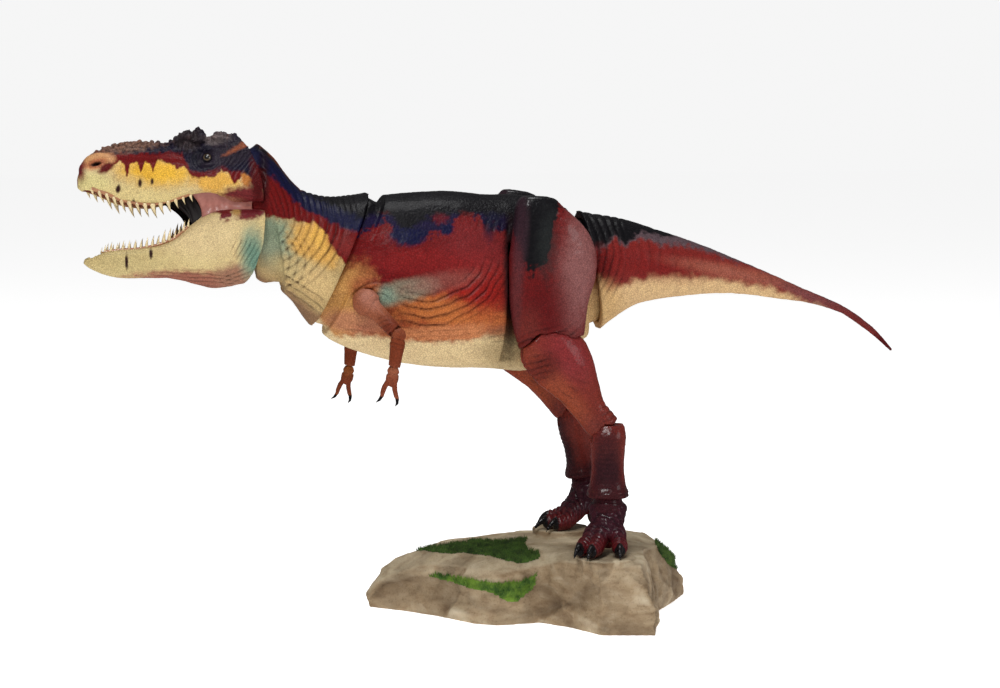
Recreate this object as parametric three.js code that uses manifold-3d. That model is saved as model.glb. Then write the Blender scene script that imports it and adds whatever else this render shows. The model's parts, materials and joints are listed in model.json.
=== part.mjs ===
// A jointed dinosaur figure on a display rock. Millimetres, +Z up, nose towards -X.
import * as THREE from 'three';
import { mergeVertices } from 'three/addons/utils/BufferGeometryUtils.js';
import Module from 'manifold-3d';

const wasm = await Module();
wasm.setup();

// Clearances
const faceGap = 0.3;
const domeGap = 1.3;
const knuckleGap = 0.45;
const pinGap = 0.25;
const cutOverrun = 2;
const weld = 0.0001;

// Trunk: rib cage and hips in one line, measured from the hip axis
const hipHeight = 235;
const hipBehind = 7;
const trunkLength = 106;
const trunkHeight = 110;
const trunkWidth = 76;
const bellySeamAhead = 45;
const spigotRadius = 14;
const spigotLength = 14;

// Neck, measured from the middle of its rear dome
const neckLength = 66;
const neckHeight = 86;
const neckWidth = 65;
const neckTilt = THREE.MathUtils.degToRad(24.3);

// Head, measured from the middle of the dome at the front of the neck
const headLength = 117;
const headHeight = 49;
const headWidth = 54;
const headTilt = THREE.MathUtils.degToRad(-10);
const headTurn = THREE.MathUtils.degToRad(5);
const headRoll = THREE.MathUtils.degToRad(-7);
const headRimRadius = 95;
const hornLength = 7;
const hornRadius = 4;
const bossLength = 13;
const bossHeight = 4.6;
const bossWidth = 4;

// Jaw hinge, gums, teeth and tongue
const jawBlockRadius = 13;
const jawBlockWidth = 22;
const jawPinRadius = 2;
const gumWidth = 2.6;
const gumHeight = 3.4;
const gumInset = 1.1;
const toothLength = 7;
const toothRadius = 1.5;
const upperTeethPerSide = 9;
const lowerTeethPerSide = 8;
const tongueLength = 52;
const tongueWidth = 11;
const tongueThickness = 4;

// Tail, measured from the middle of the dome at the rear of the hips
const tailLength = 212;
const tailHeight = 75;
const tailWidth = 46;
const tailTilt = THREE.MathUtils.degToRad(9);
const tailWireRadius = 1.6;
const tailWireLength = 40;
const tailWireRise = 6.5;

// Arm
const upperArmLength = 30;
const forearmLength = 22;
const armWidth = 12;
const shoulderRadius = 8.7;
const shoulderSpread = 34.8;
const handLength = 21;
const fingerRadius = 1.9;

// Leg
const thighLength = 70;
const shinLength = 63.5;
const metatarsusLength = 40.5;
const thighDepth = 58;
const thighWidth = 21;
const shinDepth = 44;
const metatarsusDepth = 26;
const metatarsusWidth = 20;
const hipInset = 21.5;
const hipFaceGap = 2;
const ankleHeight = 32;
const footLength = 34;
const toeRadius = 7;
const clawLength = 10;
const clawRadius = 2.7;

// Rock
const rockLength = 209;
const rockDepth = 155;
const rockHeight = 44;
const mossThickness = 2.2;
const padRadius = 19;

// Facets
const trunkSides = 20;
const neckSides = 18;
const headSides = 16;
const limbSides = 10;
const armSides = 8;
const smallSides = 6;
const clawSides = 4;
const toothSides = 4;
const gumSides = 4;
const domeSides = 16;
const rimSides = 32;
const palmSides = 10;
const ballSides = 10;
const pinSides = 8;

// Paint
const paints = {
  rock: { color: 0xb9a98a, roughness: 0.95 },
  moss: { color: 0x3f6b22, roughness: 1 },
  back: { color: 0x7a2f2a, roughness: 0.6 },
  neck: { color: 0x8a5a48, roughness: 0.6 },
  head: { color: 0xb8935a, roughness: 0.55 },
  jaw: { color: 0xc9b083, roughness: 0.55 },
  teeth: { color: 0xe8dcc0, roughness: 0.35 },
  tongue: { color: 0xb5706a, roughness: 0.4 },
  limb: { color: 0x6e2a26, roughness: 0.6 },
  arm: { color: 0x9a5c4c, roughness: 0.6 },
  plastic: { color: 0x2a2a2c, roughness: 0.5 },
  steel: { color: 0x9a9ca0, roughness: 0.35, metalness: 1 },
};

// Trunk stations as shares: ahead and up of the back line, ahead and up of the belly line,
// half width, and how much narrower the top is than the bottom
const trunkShares = [
  [1.01, 0.26, 1.33, -0.43, 0.37, 0.05],
  [0.93, 0.27, 1.24, -0.53, 0.40, 0.08],
  [0.82, 0.28, 1.05, -0.61, 0.45, 0.12],
  [0.67, 0.29, 0.82, -0.67, 0.48, 0.15],
  [0.50, 0.29, 0.58, -0.70, 0.50, 0.16],
  [0.31, 0.27, 0.33, -0.71, 0.49, 0.16],
  [0.16, 0.27, 0.12, -0.73, 0.45, 0.15],
  [-0.01, 0.25, -0.03, -0.70, 0.41, 0.12],
  [-0.14, 0.20, -0.19, -0.61, 0.36, 0.10],
  [-0.25, 0.16, -0.36, -0.50, 0.28, 0.05],
];
const neckShares = [
  [-0.14, 0.52, 0.41, -0.43, 0.50, 0.05],
  [0.02, 0.50, 0.48, -0.36, 0.48, 0.08],
  [0.20, 0.49, 0.56, -0.27, 0.44, 0.10],
  [0.38, 0.51, 0.63, -0.21, 0.41, 0.10],
  [0.52, 0.56, 0.71, -0.16, 0.39, 0.10],
  [0.64, 0.67, 0.80, -0.13, 0.38, 0.10],
  [0.74, 0.77, 0.88, -0.10, 0.37, 0.08],
  [0.86, 0.85, 0.95, -0.08, 0.37, 0.05],
  [1.00, 0.91, 1.01, -0.07, 0.36, 0.00],
];
const skullShares = [
  [0.10, 0.98, 0.03, 0.09, 0.50, 0.12],
  [0.15, 0.99, 0.13, 0.09, 0.49, 0.16],
  [0.22, 0.98, 0.24, 0.13, 0.46, 0.20],
  [0.31, 0.96, 0.34, 0.22, 0.42, 0.22],
  [0.39, 0.96, 0.44, 0.22, 0.36, 0.20],
  [0.48, 0.93, 0.52, 0.17, 0.31, 0.15],
  [0.57, 0.87, 0.62, 0.13, 0.29, 0.12],
  [0.67, 0.89, 0.71, 0.15, 0.27, 0.10],
  [0.75, 0.88, 0.79, 0.19, 0.25, 0.08],
  [0.84, 0.81, 0.86, 0.26, 0.23, 0.05],
  [0.91, 0.74, 0.93, 0.31, 0.20, 0.00],
  [0.96, 0.61, 0.97, 0.32, 0.14, 0.00],
  [0.99, 0.47, 0.99, 0.35, 0.06, 0.00],
];
const jawShares = [
  [0.03, 0.05, 0.11, -0.86, 0.49, -0.10],
  [0.13, 0.05, 0.17, -0.87, 0.49, -0.15],
  [0.24, 0.05, 0.26, -0.91, 0.45, -0.20],
  [0.31, 0.03, 0.32, -0.91, 0.41, -0.22],
  [0.38, -0.04, 0.38, -0.87, 0.35, -0.20],
  [0.45, -0.17, 0.46, -0.82, 0.31, -0.18],
  [0.52, -0.31, 0.54, -0.78, 0.28, -0.15],
  [0.61, -0.39, 0.62, -0.78, 0.26, -0.12],
  [0.70, -0.43, 0.72, -0.78, 0.24, -0.10],
  [0.79, -0.44, 0.80, -0.77, 0.21, -0.10],
  [0.87, -0.46, 0.88, -0.72, 0.18, -0.10],
  [0.93, -0.50, 0.94, -0.65, 0.11, 0.00],
  [0.97, -0.55, 0.97, -0.59, 0.03, 0.00],
];
const tailShares = [
  [-0.009, 0.520, -0.071, -0.480, 0.51, 0.05],
  [-0.052, 0.491, -0.104, -0.407, 0.49, 0.08],
  [-0.108, 0.467, -0.142, -0.333, 0.45, 0.10],
  [-0.170, 0.427, -0.184, -0.273, 0.41, 0.12],
  [-0.241, 0.360, -0.241, -0.237, 0.37, 0.12],
  [-0.316, 0.293, -0.316, -0.213, 0.33, 0.12],
  [-0.406, 0.200, -0.401, -0.195, 0.29, 0.10],
  [-0.491, 0.101, -0.486, -0.197, 0.24, 0.10],
  [-0.566, 0.013, -0.561, -0.219, 0.20, 0.10],
  [-0.642, -0.080, -0.637, -0.253, 0.16, 0.08],
  [-0.712, -0.169, -0.708, -0.280, 0.12, 0.05],
  [-0.783, -0.251, -0.774, -0.325, 0.09, 0.00],
  [-0.844, -0.333, -0.835, -0.387, 0.07, 0.00],
  [-0.896, -0.427, -0.887, -0.480, 0.05, 0.00],
  [-0.948, -0.547, -0.939, -0.587, 0.04, 0.00],
  [-1.000, -0.707, -0.995, -0.727, 0.02, 0.00],
];

// Limb stations as shares: down the bone, out to the front, out to the rear, half width
const thighShares = [
  [-0.42, 0.26, -0.06, 0.20],
  [-0.40, 0.34, 0.03, 0.34],
  [-0.33, 0.39, 0.13, 0.42],
  [-0.24, 0.40, 0.27, 0.47],
  [-0.12, 0.41, 0.41, 0.50],
  [0.02, 0.42, 0.49, 0.50],
  [0.14, 0.43, 0.52, 0.50],
  [0.29, 0.42, 0.51, 0.49],
  [0.50, 0.40, 0.45, 0.47],
  [0.72, 0.35, 0.43, 0.45],
  [0.88, 0.29, 0.41, 0.44],
  [1.00, 0.24, 0.38, 0.42],
];
const shinShares = [
  [-0.22, 0.14, 0.24, 0.46],
  [-0.12, 0.26, 0.50, 0.48],
  [0.00, 0.30, 0.58, 0.48],
  [0.16, 0.28, 0.60, 0.46],
  [0.34, 0.23, 0.52, 0.43],
  [0.52, 0.20, 0.39, 0.39],
  [0.70, 0.20, 0.27, 0.36],
  [0.84, 0.21, 0.25, 0.36],
  [0.93, 0.20, 0.24, 0.35],
];
const metatarsusShares = [
  [-0.16, 0.30, 0.42, 0.44],
  [0.00, 0.42, 0.46, 0.47],
  [0.22, 0.44, 0.43, 0.44],
  [0.48, 0.40, 0.38, 0.42],
  [0.74, 0.42, 0.40, 0.46],
  [0.88, 0.50, 0.46, 0.54],
  [0.95, 0.50, 0.46, 0.54],
];
const upperArmShares = [
  [-0.05, 0.46, 0.46, 0.46],
  [0.20, 0.46, 0.52, 0.48],
  [0.50, 0.40, 0.46, 0.44],
  [0.80, 0.38, 0.42, 0.42],
  [0.90, 0.36, 0.40, 0.40],
];
const forearmShares = [
  [0.06, 0.33, 0.33, 0.32],
  [0.25, 0.38, 0.42, 0.38],
  [0.50, 0.32, 0.36, 0.34],
  [0.84, 0.28, 0.32, 0.32],
  [0.90, 0.27, 0.30, 0.30],
];

// Rock outline as shares of its length and depth, round the foot, with the height of the
// top edge above each point as a share of the rock's height
const rockShares = [
  [-0.455, 0.226, 0.50],
  [-0.364, 0.123, 0.68],
  [-0.282, 0.006, 0.74],
  [-0.187, -0.174, 0.76],
  [-0.124, -0.229, 0.74],
  [0.008, -0.213, 0.80],
  [0.079, -0.323, 0.92],
  [0.144, -0.484, 0.94],
  [0.297, -0.529, 0.94],
  [0.392, -0.110, 0.93],
  [0.478, 0.058, 0.88],
  [0.543, 0.206, 0.72],
  [0.502, 0.400, 0.86],
  [0.287, 0.452, 0.94],
  [0.000, 0.465, 0.91],
  [-0.239, 0.426, 0.86],
  [-0.431, 0.355, 0.66],
];
const rockRingShares = [
  { up: 0, out: 1, level: 0 },
  { up: 0.32, out: 1.01, level: 0 },
  { up: 0.74, out: 0.95, level: 0 },
  { up: 1, out: 0.87, level: 0 },
  { up: 1, out: 0.62, level: 0.75 },
  { up: 1, out: 0.3, level: 1 },
];
const plateauShare = 0.985;
const rockMiddleShares = { along: 0.08, across: 0.03 };

// Joint centres as shares of the sizes that they follow
const neckSeatShares = { ahead: 1.094, up: -0.118 };
const headSeatShares = { ahead: 0.773, up: 0.372 };
const jawPivotShares = { ahead: 0.248, up: -0.061 };
const tailSeatShares = { ahead: -0.226, up: -0.18 };
const shoulderShares = { ahead: 1.072, up: -0.3 };

// Domes as shares of the heights and widths of the pieces that lap over them
const neckDomeShares = { tall: 0.488, wide: 0.452, deep: 0.415, rim: 0.22, flat: 0.56 };
const headDomeShares = { tall: 0.87, wide: 0.42, deep: 0.6, rim: 0.1, flat: 0.52 };
const tailDomeShares = { tall: 0.455, wide: 0.44, deep: 0.375, rim: 0.25, flat: 0.56 };

// Poses of the limbs at rest, in degrees: positive swings the lower end forward
const poses = {
  left: { side: -1, thigh: 3.2, knee: -43.6, hock: 40.4, twist: 72, arm: -42, raise: 33, elbow: 50, wrist: 0 },
  right: { side: 1, thigh: 9, knee: -52, hock: 31, twist: 0, arm: -6, raise: 19, elbow: 12, wrist: 6 },
};

// Swings that the pieces must have room for, in degrees
const hipSwingRoom = 8.6;
const kneeRoom = 8.6;
const hockRoom = 12.6;

const radians = THREE.MathUtils.degToRad;

// A closed geometry as a solid
function toSolid(geometry) {
  const bare = new THREE.BufferGeometry();
  bare.setAttribute('position', geometry.getAttribute('position'));
  bare.setIndex(geometry.getIndex());
  const merged = mergeVertices(bare, weld);
  const index = Array.from(merged.getIndex().array);
  const kept = [];
  for (let i = 0; i < index.length; i += 3) {
    const [a, b, c] = index.slice(i, i + 3);
    if (a !== b && b !== c && c !== a) {
      kept.push(a, b, c);
    }
  }
  return new wasm.Manifold(new wasm.Mesh({
    numProp: 3,
    vertProperties: new Float32Array(merged.getAttribute('position').array),
    triVerts: new Uint32Array(kept),
  }));
}

// A solid as a geometry
function toGeometry(solid) {
  const mesh = solid.getMesh();
  const geometry = new THREE.BufferGeometry();
  const points = new Float32Array(mesh.vertProperties.length / mesh.numProp * 3);
  for (let i = 0; i < points.length / 3; i += 1) {
    for (let k = 0; k < 3; k += 1) {
      points[3 * i + k] = mesh.vertProperties[mesh.numProp * i + k];
    }
  }
  geometry.setAttribute('position', new THREE.BufferAttribute(points, 3));
  geometry.setIndex(Array.from(mesh.triVerts));
  return geometry;
}

function moved(solid, matrix) {
  return toSolid(toGeometry(solid).applyMatrix4(matrix));
}

function joined(solids) {
  return solids.reduce((whole, solid) => whole.add(solid));
}

function cut(solid, cutters) {
  return cutters.reduce((whole, cutter) => whole.subtract(cutter), solid);
}

// A box between two corners
function box(low, high) {
  const size = high.clone().sub(low);
  const middle = high.clone().add(low).multiplyScalar(0.5);
  const geometry = new THREE.BoxGeometry(size.x, size.y, size.z);
  return toSolid(geometry.translate(middle.x, middle.y, middle.z));
}

// An ellipsoid round a point
function ellipsoid(halves, centre, sides = domeSides) {
  const geometry = new THREE.SphereGeometry(1, sides, Math.round(sides / 2));
  geometry.rotateX(Math.PI / 2);
  geometry.scale(halves.x, halves.y, halves.z);
  return toSolid(geometry.translate(centre.x, centre.y, centre.z));
}

// A flattened ball with facets round the Y axis
function roller(radius, half, sides) {
  const geometry = new THREE.SphereGeometry(1, sides, Math.round(sides / 2));
  return toSolid(geometry.scale(radius, half, radius));
}

// A round rod between two points
function rod(radius, from, to, sides = pinSides) {
  const along = to.clone().sub(from);
  const geometry = new THREE.CylinderGeometry(radius, radius, along.length(), sides);
  const turn = new THREE.Quaternion().setFromUnitVectors(vector(0, 1, 0), along.clone().normalize());
  geometry.applyQuaternion(turn);
  const middle = from.clone().add(to).multiplyScalar(0.5);
  return toSolid(geometry.translate(middle.x, middle.y, middle.z));
}

function vector(x, y, z) {
  return new THREE.Vector3(x, y, z);
}

// A closed skin over a row of rings with the same number of points
function skin(rings) {
  const count = rings[0].length;
  const points = rings.flat();
  const ends = [rings[0], rings[rings.length - 1]].map(middleOf);
  points.push(...ends);
  const index = [];
  for (let r = 0; r < rings.length - 1; r += 1) {
    for (let i = 0; i < count; i += 1) {
      const a = r * count + i;
      const b = r * count + (i + 1) % count;
      index.push(a, b, a + count, b, b + count, a + count);
    }
  }
  const first = rings.length * count;
  const last = (rings.length - 1) * count;
  for (let i = 0; i < count; i += 1) {
    index.push(first, (i + 1) % count, i);
    index.push(first + 1, last + i, last + (i + 1) % count);
  }
  const geometry = new THREE.BufferGeometry().setFromPoints(points);
  geometry.setIndex(index);
  if (volumeOf(points, index) < 0) {
    geometry.setIndex(index.reverse());
  }
  return toSolid(geometry);
}

function middleOf(ring) {
  const sum = ring.reduce((total, point) => total.add(point), vector(0, 0, 0));
  return sum.divideScalar(ring.length);
}

function volumeOf(points, index) {
  let total = 0;
  for (let i = 0; i < index.length; i += 3) {
    const [a, b, c] = [points[index[i]], points[index[i + 1]], points[index[i + 2]]];
    total += a.dot(b.clone().cross(c));
  }
  return total;
}

// A smooth curve through four values, between the second and the third
function between(a, b, c, d, t) {
  const leave = (c - a) / 2;
  const arrive = (d - b) / 2;
  const square = 3 * (c - b) - 2 * leave - arrive;
  const cube = 2 * (b - c) + leave + arrive;
  return b + leave * t + square * t * t + cube * t * t * t;
}

// Rows of a table with smooth rows in between
function smoothed(rows, steps) {
  const result = [];
  for (let i = 0; i < rows.length - 1; i += 1) {
    const around = [rows[Math.max(i - 1, 0)], rows[i], rows[i + 1], rows[Math.min(i + 2, rows.length - 1)]];
    for (let s = 0; s < steps; s += 1) {
      result.push(rows[i].map((_, k) => between(...around.map((row) => row[k]), s / steps)));
    }
  }
  result.push(rows[rows.length - 1]);
  return result;
}

function rounded(value, power) {
  return Math.sign(value) * Math.abs(value) ** power;
}

// A body whose stations are chords from its top line to its bottom line
function chordSkin(rows, size, look) {
  const rings = smoothed(rows, look.steps).map(([topAhead, topUp, lowAhead, lowUp, half, pinch]) => {
    const top = vector(-size.length * topAhead, 0, size.height * topUp);
    const low = vector(-size.length * lowAhead, 0, size.height * lowUp);
    const middle = top.clone().add(low).multiplyScalar(0.5);
    const rise = top.clone().sub(middle);
    const ring = [];
    for (let i = 0; i < look.sides; i += 1) {
      const angle = 2 * Math.PI * (i + 0.5) / look.sides;
      const power = Math.cos(angle) > 0 ? look.topShare : look.lowShare;
      const up = rounded(Math.cos(angle), power);
      const out = rounded(Math.sin(angle), power) * (1 - pinch * up);
      const point = middle.clone().addScaledVector(rise, up);
      point.y = out * half * size.width;
      ring.push(point);
    }
    return ring;
  });
  return skin(rings);
}

// A limb whose stations are level rings down its bone, grown by a clearance
function limbSkin(rows, size, sides, grow = 0) {
  const stations = smoothed(rows, 1);
  const rings = stations.map(([down, front, rear, half], k) => {
    const ends = (k === 0 ? grow : 0) - (k === stations.length - 1 ? grow : 0);
    const ahead = size.depth * front + grow;
    const behind = size.depth * rear + grow;
    const middle = (behind - ahead) / 2;
    const ring = [];
    for (let i = 0; i < sides; i += 1) {
      const angle = 2 * Math.PI * (i + 0.5) / sides;
      const x = middle + rounded(Math.cos(angle), limbShare) * (ahead + behind) / 2;
      const y = rounded(Math.sin(angle), limbShare) * (half * size.width + grow);
      ring.push(vector(x, y, ends - size.length * down));
    }
    return ring;
  });
  return skin(rings);
}
const limbShare = 0.85;

// A tapering bar along a list of points, each with its half height and half width
function sweep(points, halves, sides) {
  const rings = points.map((point, k) => {
    const before = points[Math.max(k - 1, 0)];
    const after = points[Math.min(k + 1, points.length - 1)];
    const along = after.clone().sub(before).normalize();
    const across = Math.abs(along.y) > upright ? vector(1, 0, 0) : vector(0, 1, 0);
    const up = along.clone().cross(across).normalize();
    const side = up.clone().cross(along).normalize();
    const ring = [];
    for (let i = 0; i < sides; i += 1) {
      const angle = 2 * Math.PI * (i + 0.5) / sides;
      const spot = point.clone().addScaledVector(up, Math.cos(angle) * halves[k][0]);
      ring.push(spot.addScaledVector(side, Math.sin(angle) * halves[k][1]));
    }
    return ring;
  });
  return skin(rings);
}
const upright = 0.9;

function mesh(name, solid, paint) {
  const geometry = toGeometry(solid).toNonIndexed();
  geometry.computeVertexNormals();
  const piece = new THREE.Mesh(geometry, new THREE.MeshStandardMaterial(paint));
  piece.name = name;
  return piece;
}

// A group that carries the pieces below a joint
function seat(position, turn = new THREE.Euler()) {
  const group = new THREE.Group();
  group.position.copy(position);
  group.rotation.copy(turn);
  group.updateMatrix();
  return group;
}

// The frame of a dome: X points out of the carrier, tilted up, Y stays level
function domeFrame(centre, tilt, heading) {
  const out = vector(heading * Math.cos(tilt), 0, Math.sin(tilt));
  const across = vector(0, heading, 0);
  const up = out.clone().cross(across);
  const frame = new THREE.Matrix4().makeBasis(out, across, up);
  return frame.setPosition(centre);
}

// The knuckle of a dome: a ball with a slot, the bar that enters it and the pin across both
function domeKnuckle(size) {
  const ballRadius = size.wide * knuckleShares.ball;
  const barHalf = ballRadius * knuckleShares.bar;
  const eyeRadius = ballRadius * knuckleShares.eye;
  const eyeHalf = ballRadius * knuckleShares.eyeThickness;
  const pinRadius = ballRadius * knuckleShares.pin;
  const faceAt = ballRadius * knuckleShares.face;
  const pinHalf = ballRadius * knuckleShares.pinLength;
  const origin = vector(0, 0, 0);
  const far = ballRadius + cutOverrun;
  const slot = box(vector(-eyeRadius - pinGap, -eyeHalf - pinGap, -far), vector(far, eyeHalf + pinGap, far));
  const face = box(vector(faceAt, -far, -far), vector(far, far, far));
  const bore = rod(pinRadius + pinGap, vector(0, -far, 0), vector(0, far, 0));
  const ball = cut(ellipsoid(vector(ballRadius, ballRadius, ballRadius), origin, ballSides), [slot, face, bore]);
  const eye = rod(eyeRadius - pinGap, vector(0, -eyeHalf, 0), vector(0, eyeHalf, 0), ballSides);
  const web = box(vector(0, -eyeHalf, -barHalf), vector(faceAt + domeGap + barHalf, eyeHalf, barHalf));
  const bar = rod(barHalf, vector(faceAt + domeGap, 0, 0), vector(size.deepAt + ballRadius, 0, 0));
  const shank = joined([cut(joined([eye, web]), [bore]), bar]);
  const socketRadius = ballRadius + knuckleGap;
  const socket = ellipsoid(vector(socketRadius, socketRadius, socketRadius), origin, ballSides);
  const windowRadius = ballRadius * knuckleShares.window;
  const window = rod(windowRadius, origin, vector(size.deep + cutOverrun, 0, 0), ballSides);
  const pin = rod(pinRadius, vector(0, -pinHalf, 0), vector(0, pinHalf, 0));
  return { ball, shank, pin, room: joined([socket, window]) };
}
const knuckleShares = {
  ball: 0.38, bar: 0.42, eye: 0.62, eyeThickness: 0.22, pin: 0.2, face: 0.75, pinLength: 0.9, window: 0.92,
};

// A dome with the room that the piece lapping over it needs
function dome(size) {
  const origin = vector(0, 0, 0);
  const far = size.tall + size.deep + cutOverrun;
  const flatAt = size.deep * size.flatShare;
  const front = box(vector(flatAt, -far, -far), vector(far, far, far));
  const rear = box(vector(-far, -far, -far), vector(-cutOverrun, far, far));
  const male = cut(ellipsoid(vector(size.deep, size.wide, size.tall), origin), [front, rear]);
  const grown = vector(size.deep + domeGap, size.wide + domeGap, size.tall + domeGap);
  const deepAt = flatAt + size.tall * domeNodShare;
  const floor = box(vector(deepAt, -far, -far), vector(far, far, far));
  const female = ellipsoid(grown, origin).subtract(floor);
  const behind = box(vector(-far, -far, -far), vector(size.deep * size.rimShare, far, far));
  const ahead = box(vector(0, -far, -far), vector(far, far, far));
  return { male, female, behind, ahead, deepAt, knuckle: domeKnuckle({ ...size, deepAt }) };
}
const domeNodShare = 0.13;

// A hinge between two limb pieces. The lower piece has the head, the upper piece the tongue.
function hinge(size) {
  const origin = vector(0, 0, 0);
  const { radius, half, sides } = size;
  const eyeRadius = radius * hingeShares.eye;
  const tongueHalf = half * hingeShares.tongue;
  const pinRadius = half * hingeShares.pin;
  const webHalf = radius * hingeShares.web;
  const far = radius + cutOverrun;
  const facet = Math.cos(Math.PI / sides);
  const roomRadius = (radius + faceGap) / facet;
  const head = roller(radius, half, sides);
  const room = roller(roomRadius, half + knuckleGap, sides);
  const slotHalf = tongueHalf + pinGap + pinGap;
  const eyeRoom = rod((eyeRadius + faceGap) / facet, vector(0, -slotHalf, 0), vector(0, slotHalf, 0), sides);
  const drop = -radius * hingeShares.drop;
  const reach = far + size.above;
  const open = box(vector(-reach, -slotHalf, drop), vector(reach, slotHalf, reach));
  const bore = rod(pinRadius + pinGap, vector(0, -far, 0), vector(0, far, 0));
  const eye = rod(eyeRadius, vector(0, -tongueHalf, 0), vector(0, tongueHalf, 0), sides);
  const webTop = roomRadius + radius * hingeShares.root + size.above;
  const web = box(vector(-webHalf, -tongueHalf, 0), vector(webHalf, tongueHalf, webTop));
  const pinHalf = half * hingeShares.pinLength;
  const pin = rod(pinRadius, vector(0, -pinHalf, 0), vector(0, pinHalf, 0));
  return { head, room, slot: joined([eyeRoom, open]), bore, tongue: joined([eye, web]), pin };
}
const hingeShares = { eye: 0.56, tongue: 0.24, pin: 0.2, web: 0.34, drop: 0.42, root: 0.25, pinLength: 0.86 };

// A peg that turns in the body, with a tongue whose pin lets the limb spread
function sidePeg(size, side) {
  const tongueHalf = size.radius * pegShares.tongue;
  const eyeRadius = size.radius * pegShares.eye;
  const pinRadius = size.radius * pegShares.pin;
  const inner = -side * (size.reach + size.depth);
  const origin = vector(0, 0, 0);
  const shankEnd = -side * (eyeRadius + pegStep);
  const shank = rod(size.radius, vector(0, inner, 0), vector(0, shankEnd, 0), limbSides);
  const eye = rod(eyeRadius, vector(-tongueHalf, 0, 0), vector(tongueHalf, 0, 0), limbSides);
  const web = boxOver(vector(-tongueHalf, 0, -eyeRadius * pegShares.web),
    vector(tongueHalf, shankEnd - side * cutOverrun, eyeRadius * pegShares.web));
  const bore = rod(pinRadius + pinGap, vector(-size.pin - cutOverrun, 0, 0), vector(size.pin + cutOverrun, 0, 0));
  const peg = joined([shank, eye, web]).subtract(bore);
  const inside = size.radius + faceGap;
  const bodyBore = rod(inside, vector(0, inner - side * faceGap, 0), origin, limbSides);
  const slotX = tongueHalf + pinGap + pinGap;
  const rise = eyeRadius + faceGap + faceGap;
  const past = -side * (size.reach + size.reach);
  const slot = boxOver(vector(-slotX, side * rise, -rise), vector(slotX, past, rise));
  const mouthHalf = size.radius + pegStep;
  const lean = Math.sin(radians(size.swing));
  const flare = mouthHalf + size.reach * lean;
  const mouthAt = shankEnd + side * (faceGap + mouthHalf * lean);
  const mouth = boxOver(vector(-mouthHalf, mouthAt, -flare), vector(mouthHalf, past, flare));
  const limbBore = rod(pinRadius + pinGap, vector(-size.pin - faceGap, 0, 0), vector(size.pin + faceGap, 0, 0));
  const pin = rod(pinRadius, vector(-size.pin, 0, 0), vector(size.pin, 0, 0));
  return { peg, bodyBore, limbRoom: joined([slot, mouth, limbBore]), pin };
}
const pegShares = { tongue: 0.4, eye: 0.8, pin: 0.32, web: 0.8 };
const pegStep = 1.1;

// A box between two corners given in any order
function boxOver(a, b) {
  return box(a.clone().min(b), a.clone().max(b));
}

// The display rock, ring over ring, with level pads under the feet
function rockSolid(pads) {
  const rings = rockRingShares.map(({ up, out, level }) => rockShares.map(([along, across, top]) => {
    const x = rockMiddleShares.along + (along - rockMiddleShares.along) * out;
    const y = rockMiddleShares.across + (across - rockMiddleShares.across) * out;
    const height = top * (1 - level) + plateauShare * level;
    return vector(rockLength * x, rockDepth * y, rockHeight * height * up);
  }));
  return joined([skin(rings), ...pads]);
}

// A mat of moss that follows the rock under an outline
function mossSolid(rock, outline) {
  const shape = new THREE.Shape(outline.map(([along, across]) => {
    return new THREE.Vector2(rockLength * along, rockDepth * across);
  }));
  const prism = toSolid(new THREE.ExtrudeGeometry(shape, { depth: rockHeight + rockHeight, bevelEnabled: false }));
  const lift = (by) => moved(rock, new THREE.Matrix4().makeTranslation(0, 0, by));
  return lift(faceGap + mossThickness).subtract(lift(faceGap)).intersect(prism);
}
const mossShares = {
  back: [[-0.37, 0.2], [-0.2, 0.02], [-0.06, -0.06], [-0.03, 0.0], [-0.1, 0.12], [-0.16, 0.24], [-0.3, 0.3]],
  front: [[-0.29, 0.03], [-0.2, -0.16], [-0.12, -0.21], [0.04, -0.2], [0.03, -0.15], [-0.1, -0.15],
    [-0.18, -0.08], [-0.26, 0.06]],
  side: [[0.49, 0.16], [0.55, 0.19], [0.55, 0.23], [0.49, 0.24]],
};

const blunt = { sides: trunkSides, steps: 1, topShare: 0.86, lowShare: 0.86 };

// The whole trunk before it is parted at the belly seam
function trunkSolid(neckJoint, tailJoint, legs, arms) {
  const size = { length: trunkLength, height: trunkHeight, width: trunkWidth };
  const whole = chordSkin(trunkShares, size, blunt);
  const pockets = legs.flatMap(({ thigh, frame, side }) => pocketFor(thigh, frame, side));
  const bodyBores = [...legs, ...arms].map(({ peg, frame }) => moved(peg.bodyBore, frame));
  const sockets = arms.map(({ socket, frame }) => moved(socket, frame));
  const ends = [moved(neckJoint.shape.ahead, neckJoint.frame), moved(tailJoint.shape.ahead, tailJoint.frame)];
  const domes = [moved(neckJoint.shape.male, neckJoint.frame), moved(tailJoint.shape.male, tailJoint.frame)];
  const rooms = [neckJoint, tailJoint].map(({ shape, frame }) => moved(shape.knuckle.room, frame));
  return cut(joined([cut(whole, ends), ...domes]), [...pockets, ...sockets, ...bodyBores, ...rooms]);
}

// The space that a thigh sweeps in the side of the trunk
function pocketFor(thigh, frame, side) {
  const angles = [0, -hipSwingRoom / 2, -hipSwingRoom];
  const sweeps = angles.map((angle) => {
    return moved(thigh, frame.clone().multiply(new THREE.Matrix4().makeRotationY(radians(angle))));
  });
  const front = -thighDepth * kneeFrontShare;
  const inner = -side * (thighWidth / 2 + hipFaceGap);
  const below = boxOver(vector(front, inner, -trunkHeight), vector(trunkLength, side * trunkWidth, 0));
  return [...sweeps, moved(below, frame)];
}
const kneeFrontShare = 0.43;

const figure = seat(vector(0, 0, 0));
figure.name = 'figure_on_rock';
const hips = seat(vector(hipBehind, 0, hipHeight));
figure.add(hips);

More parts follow.
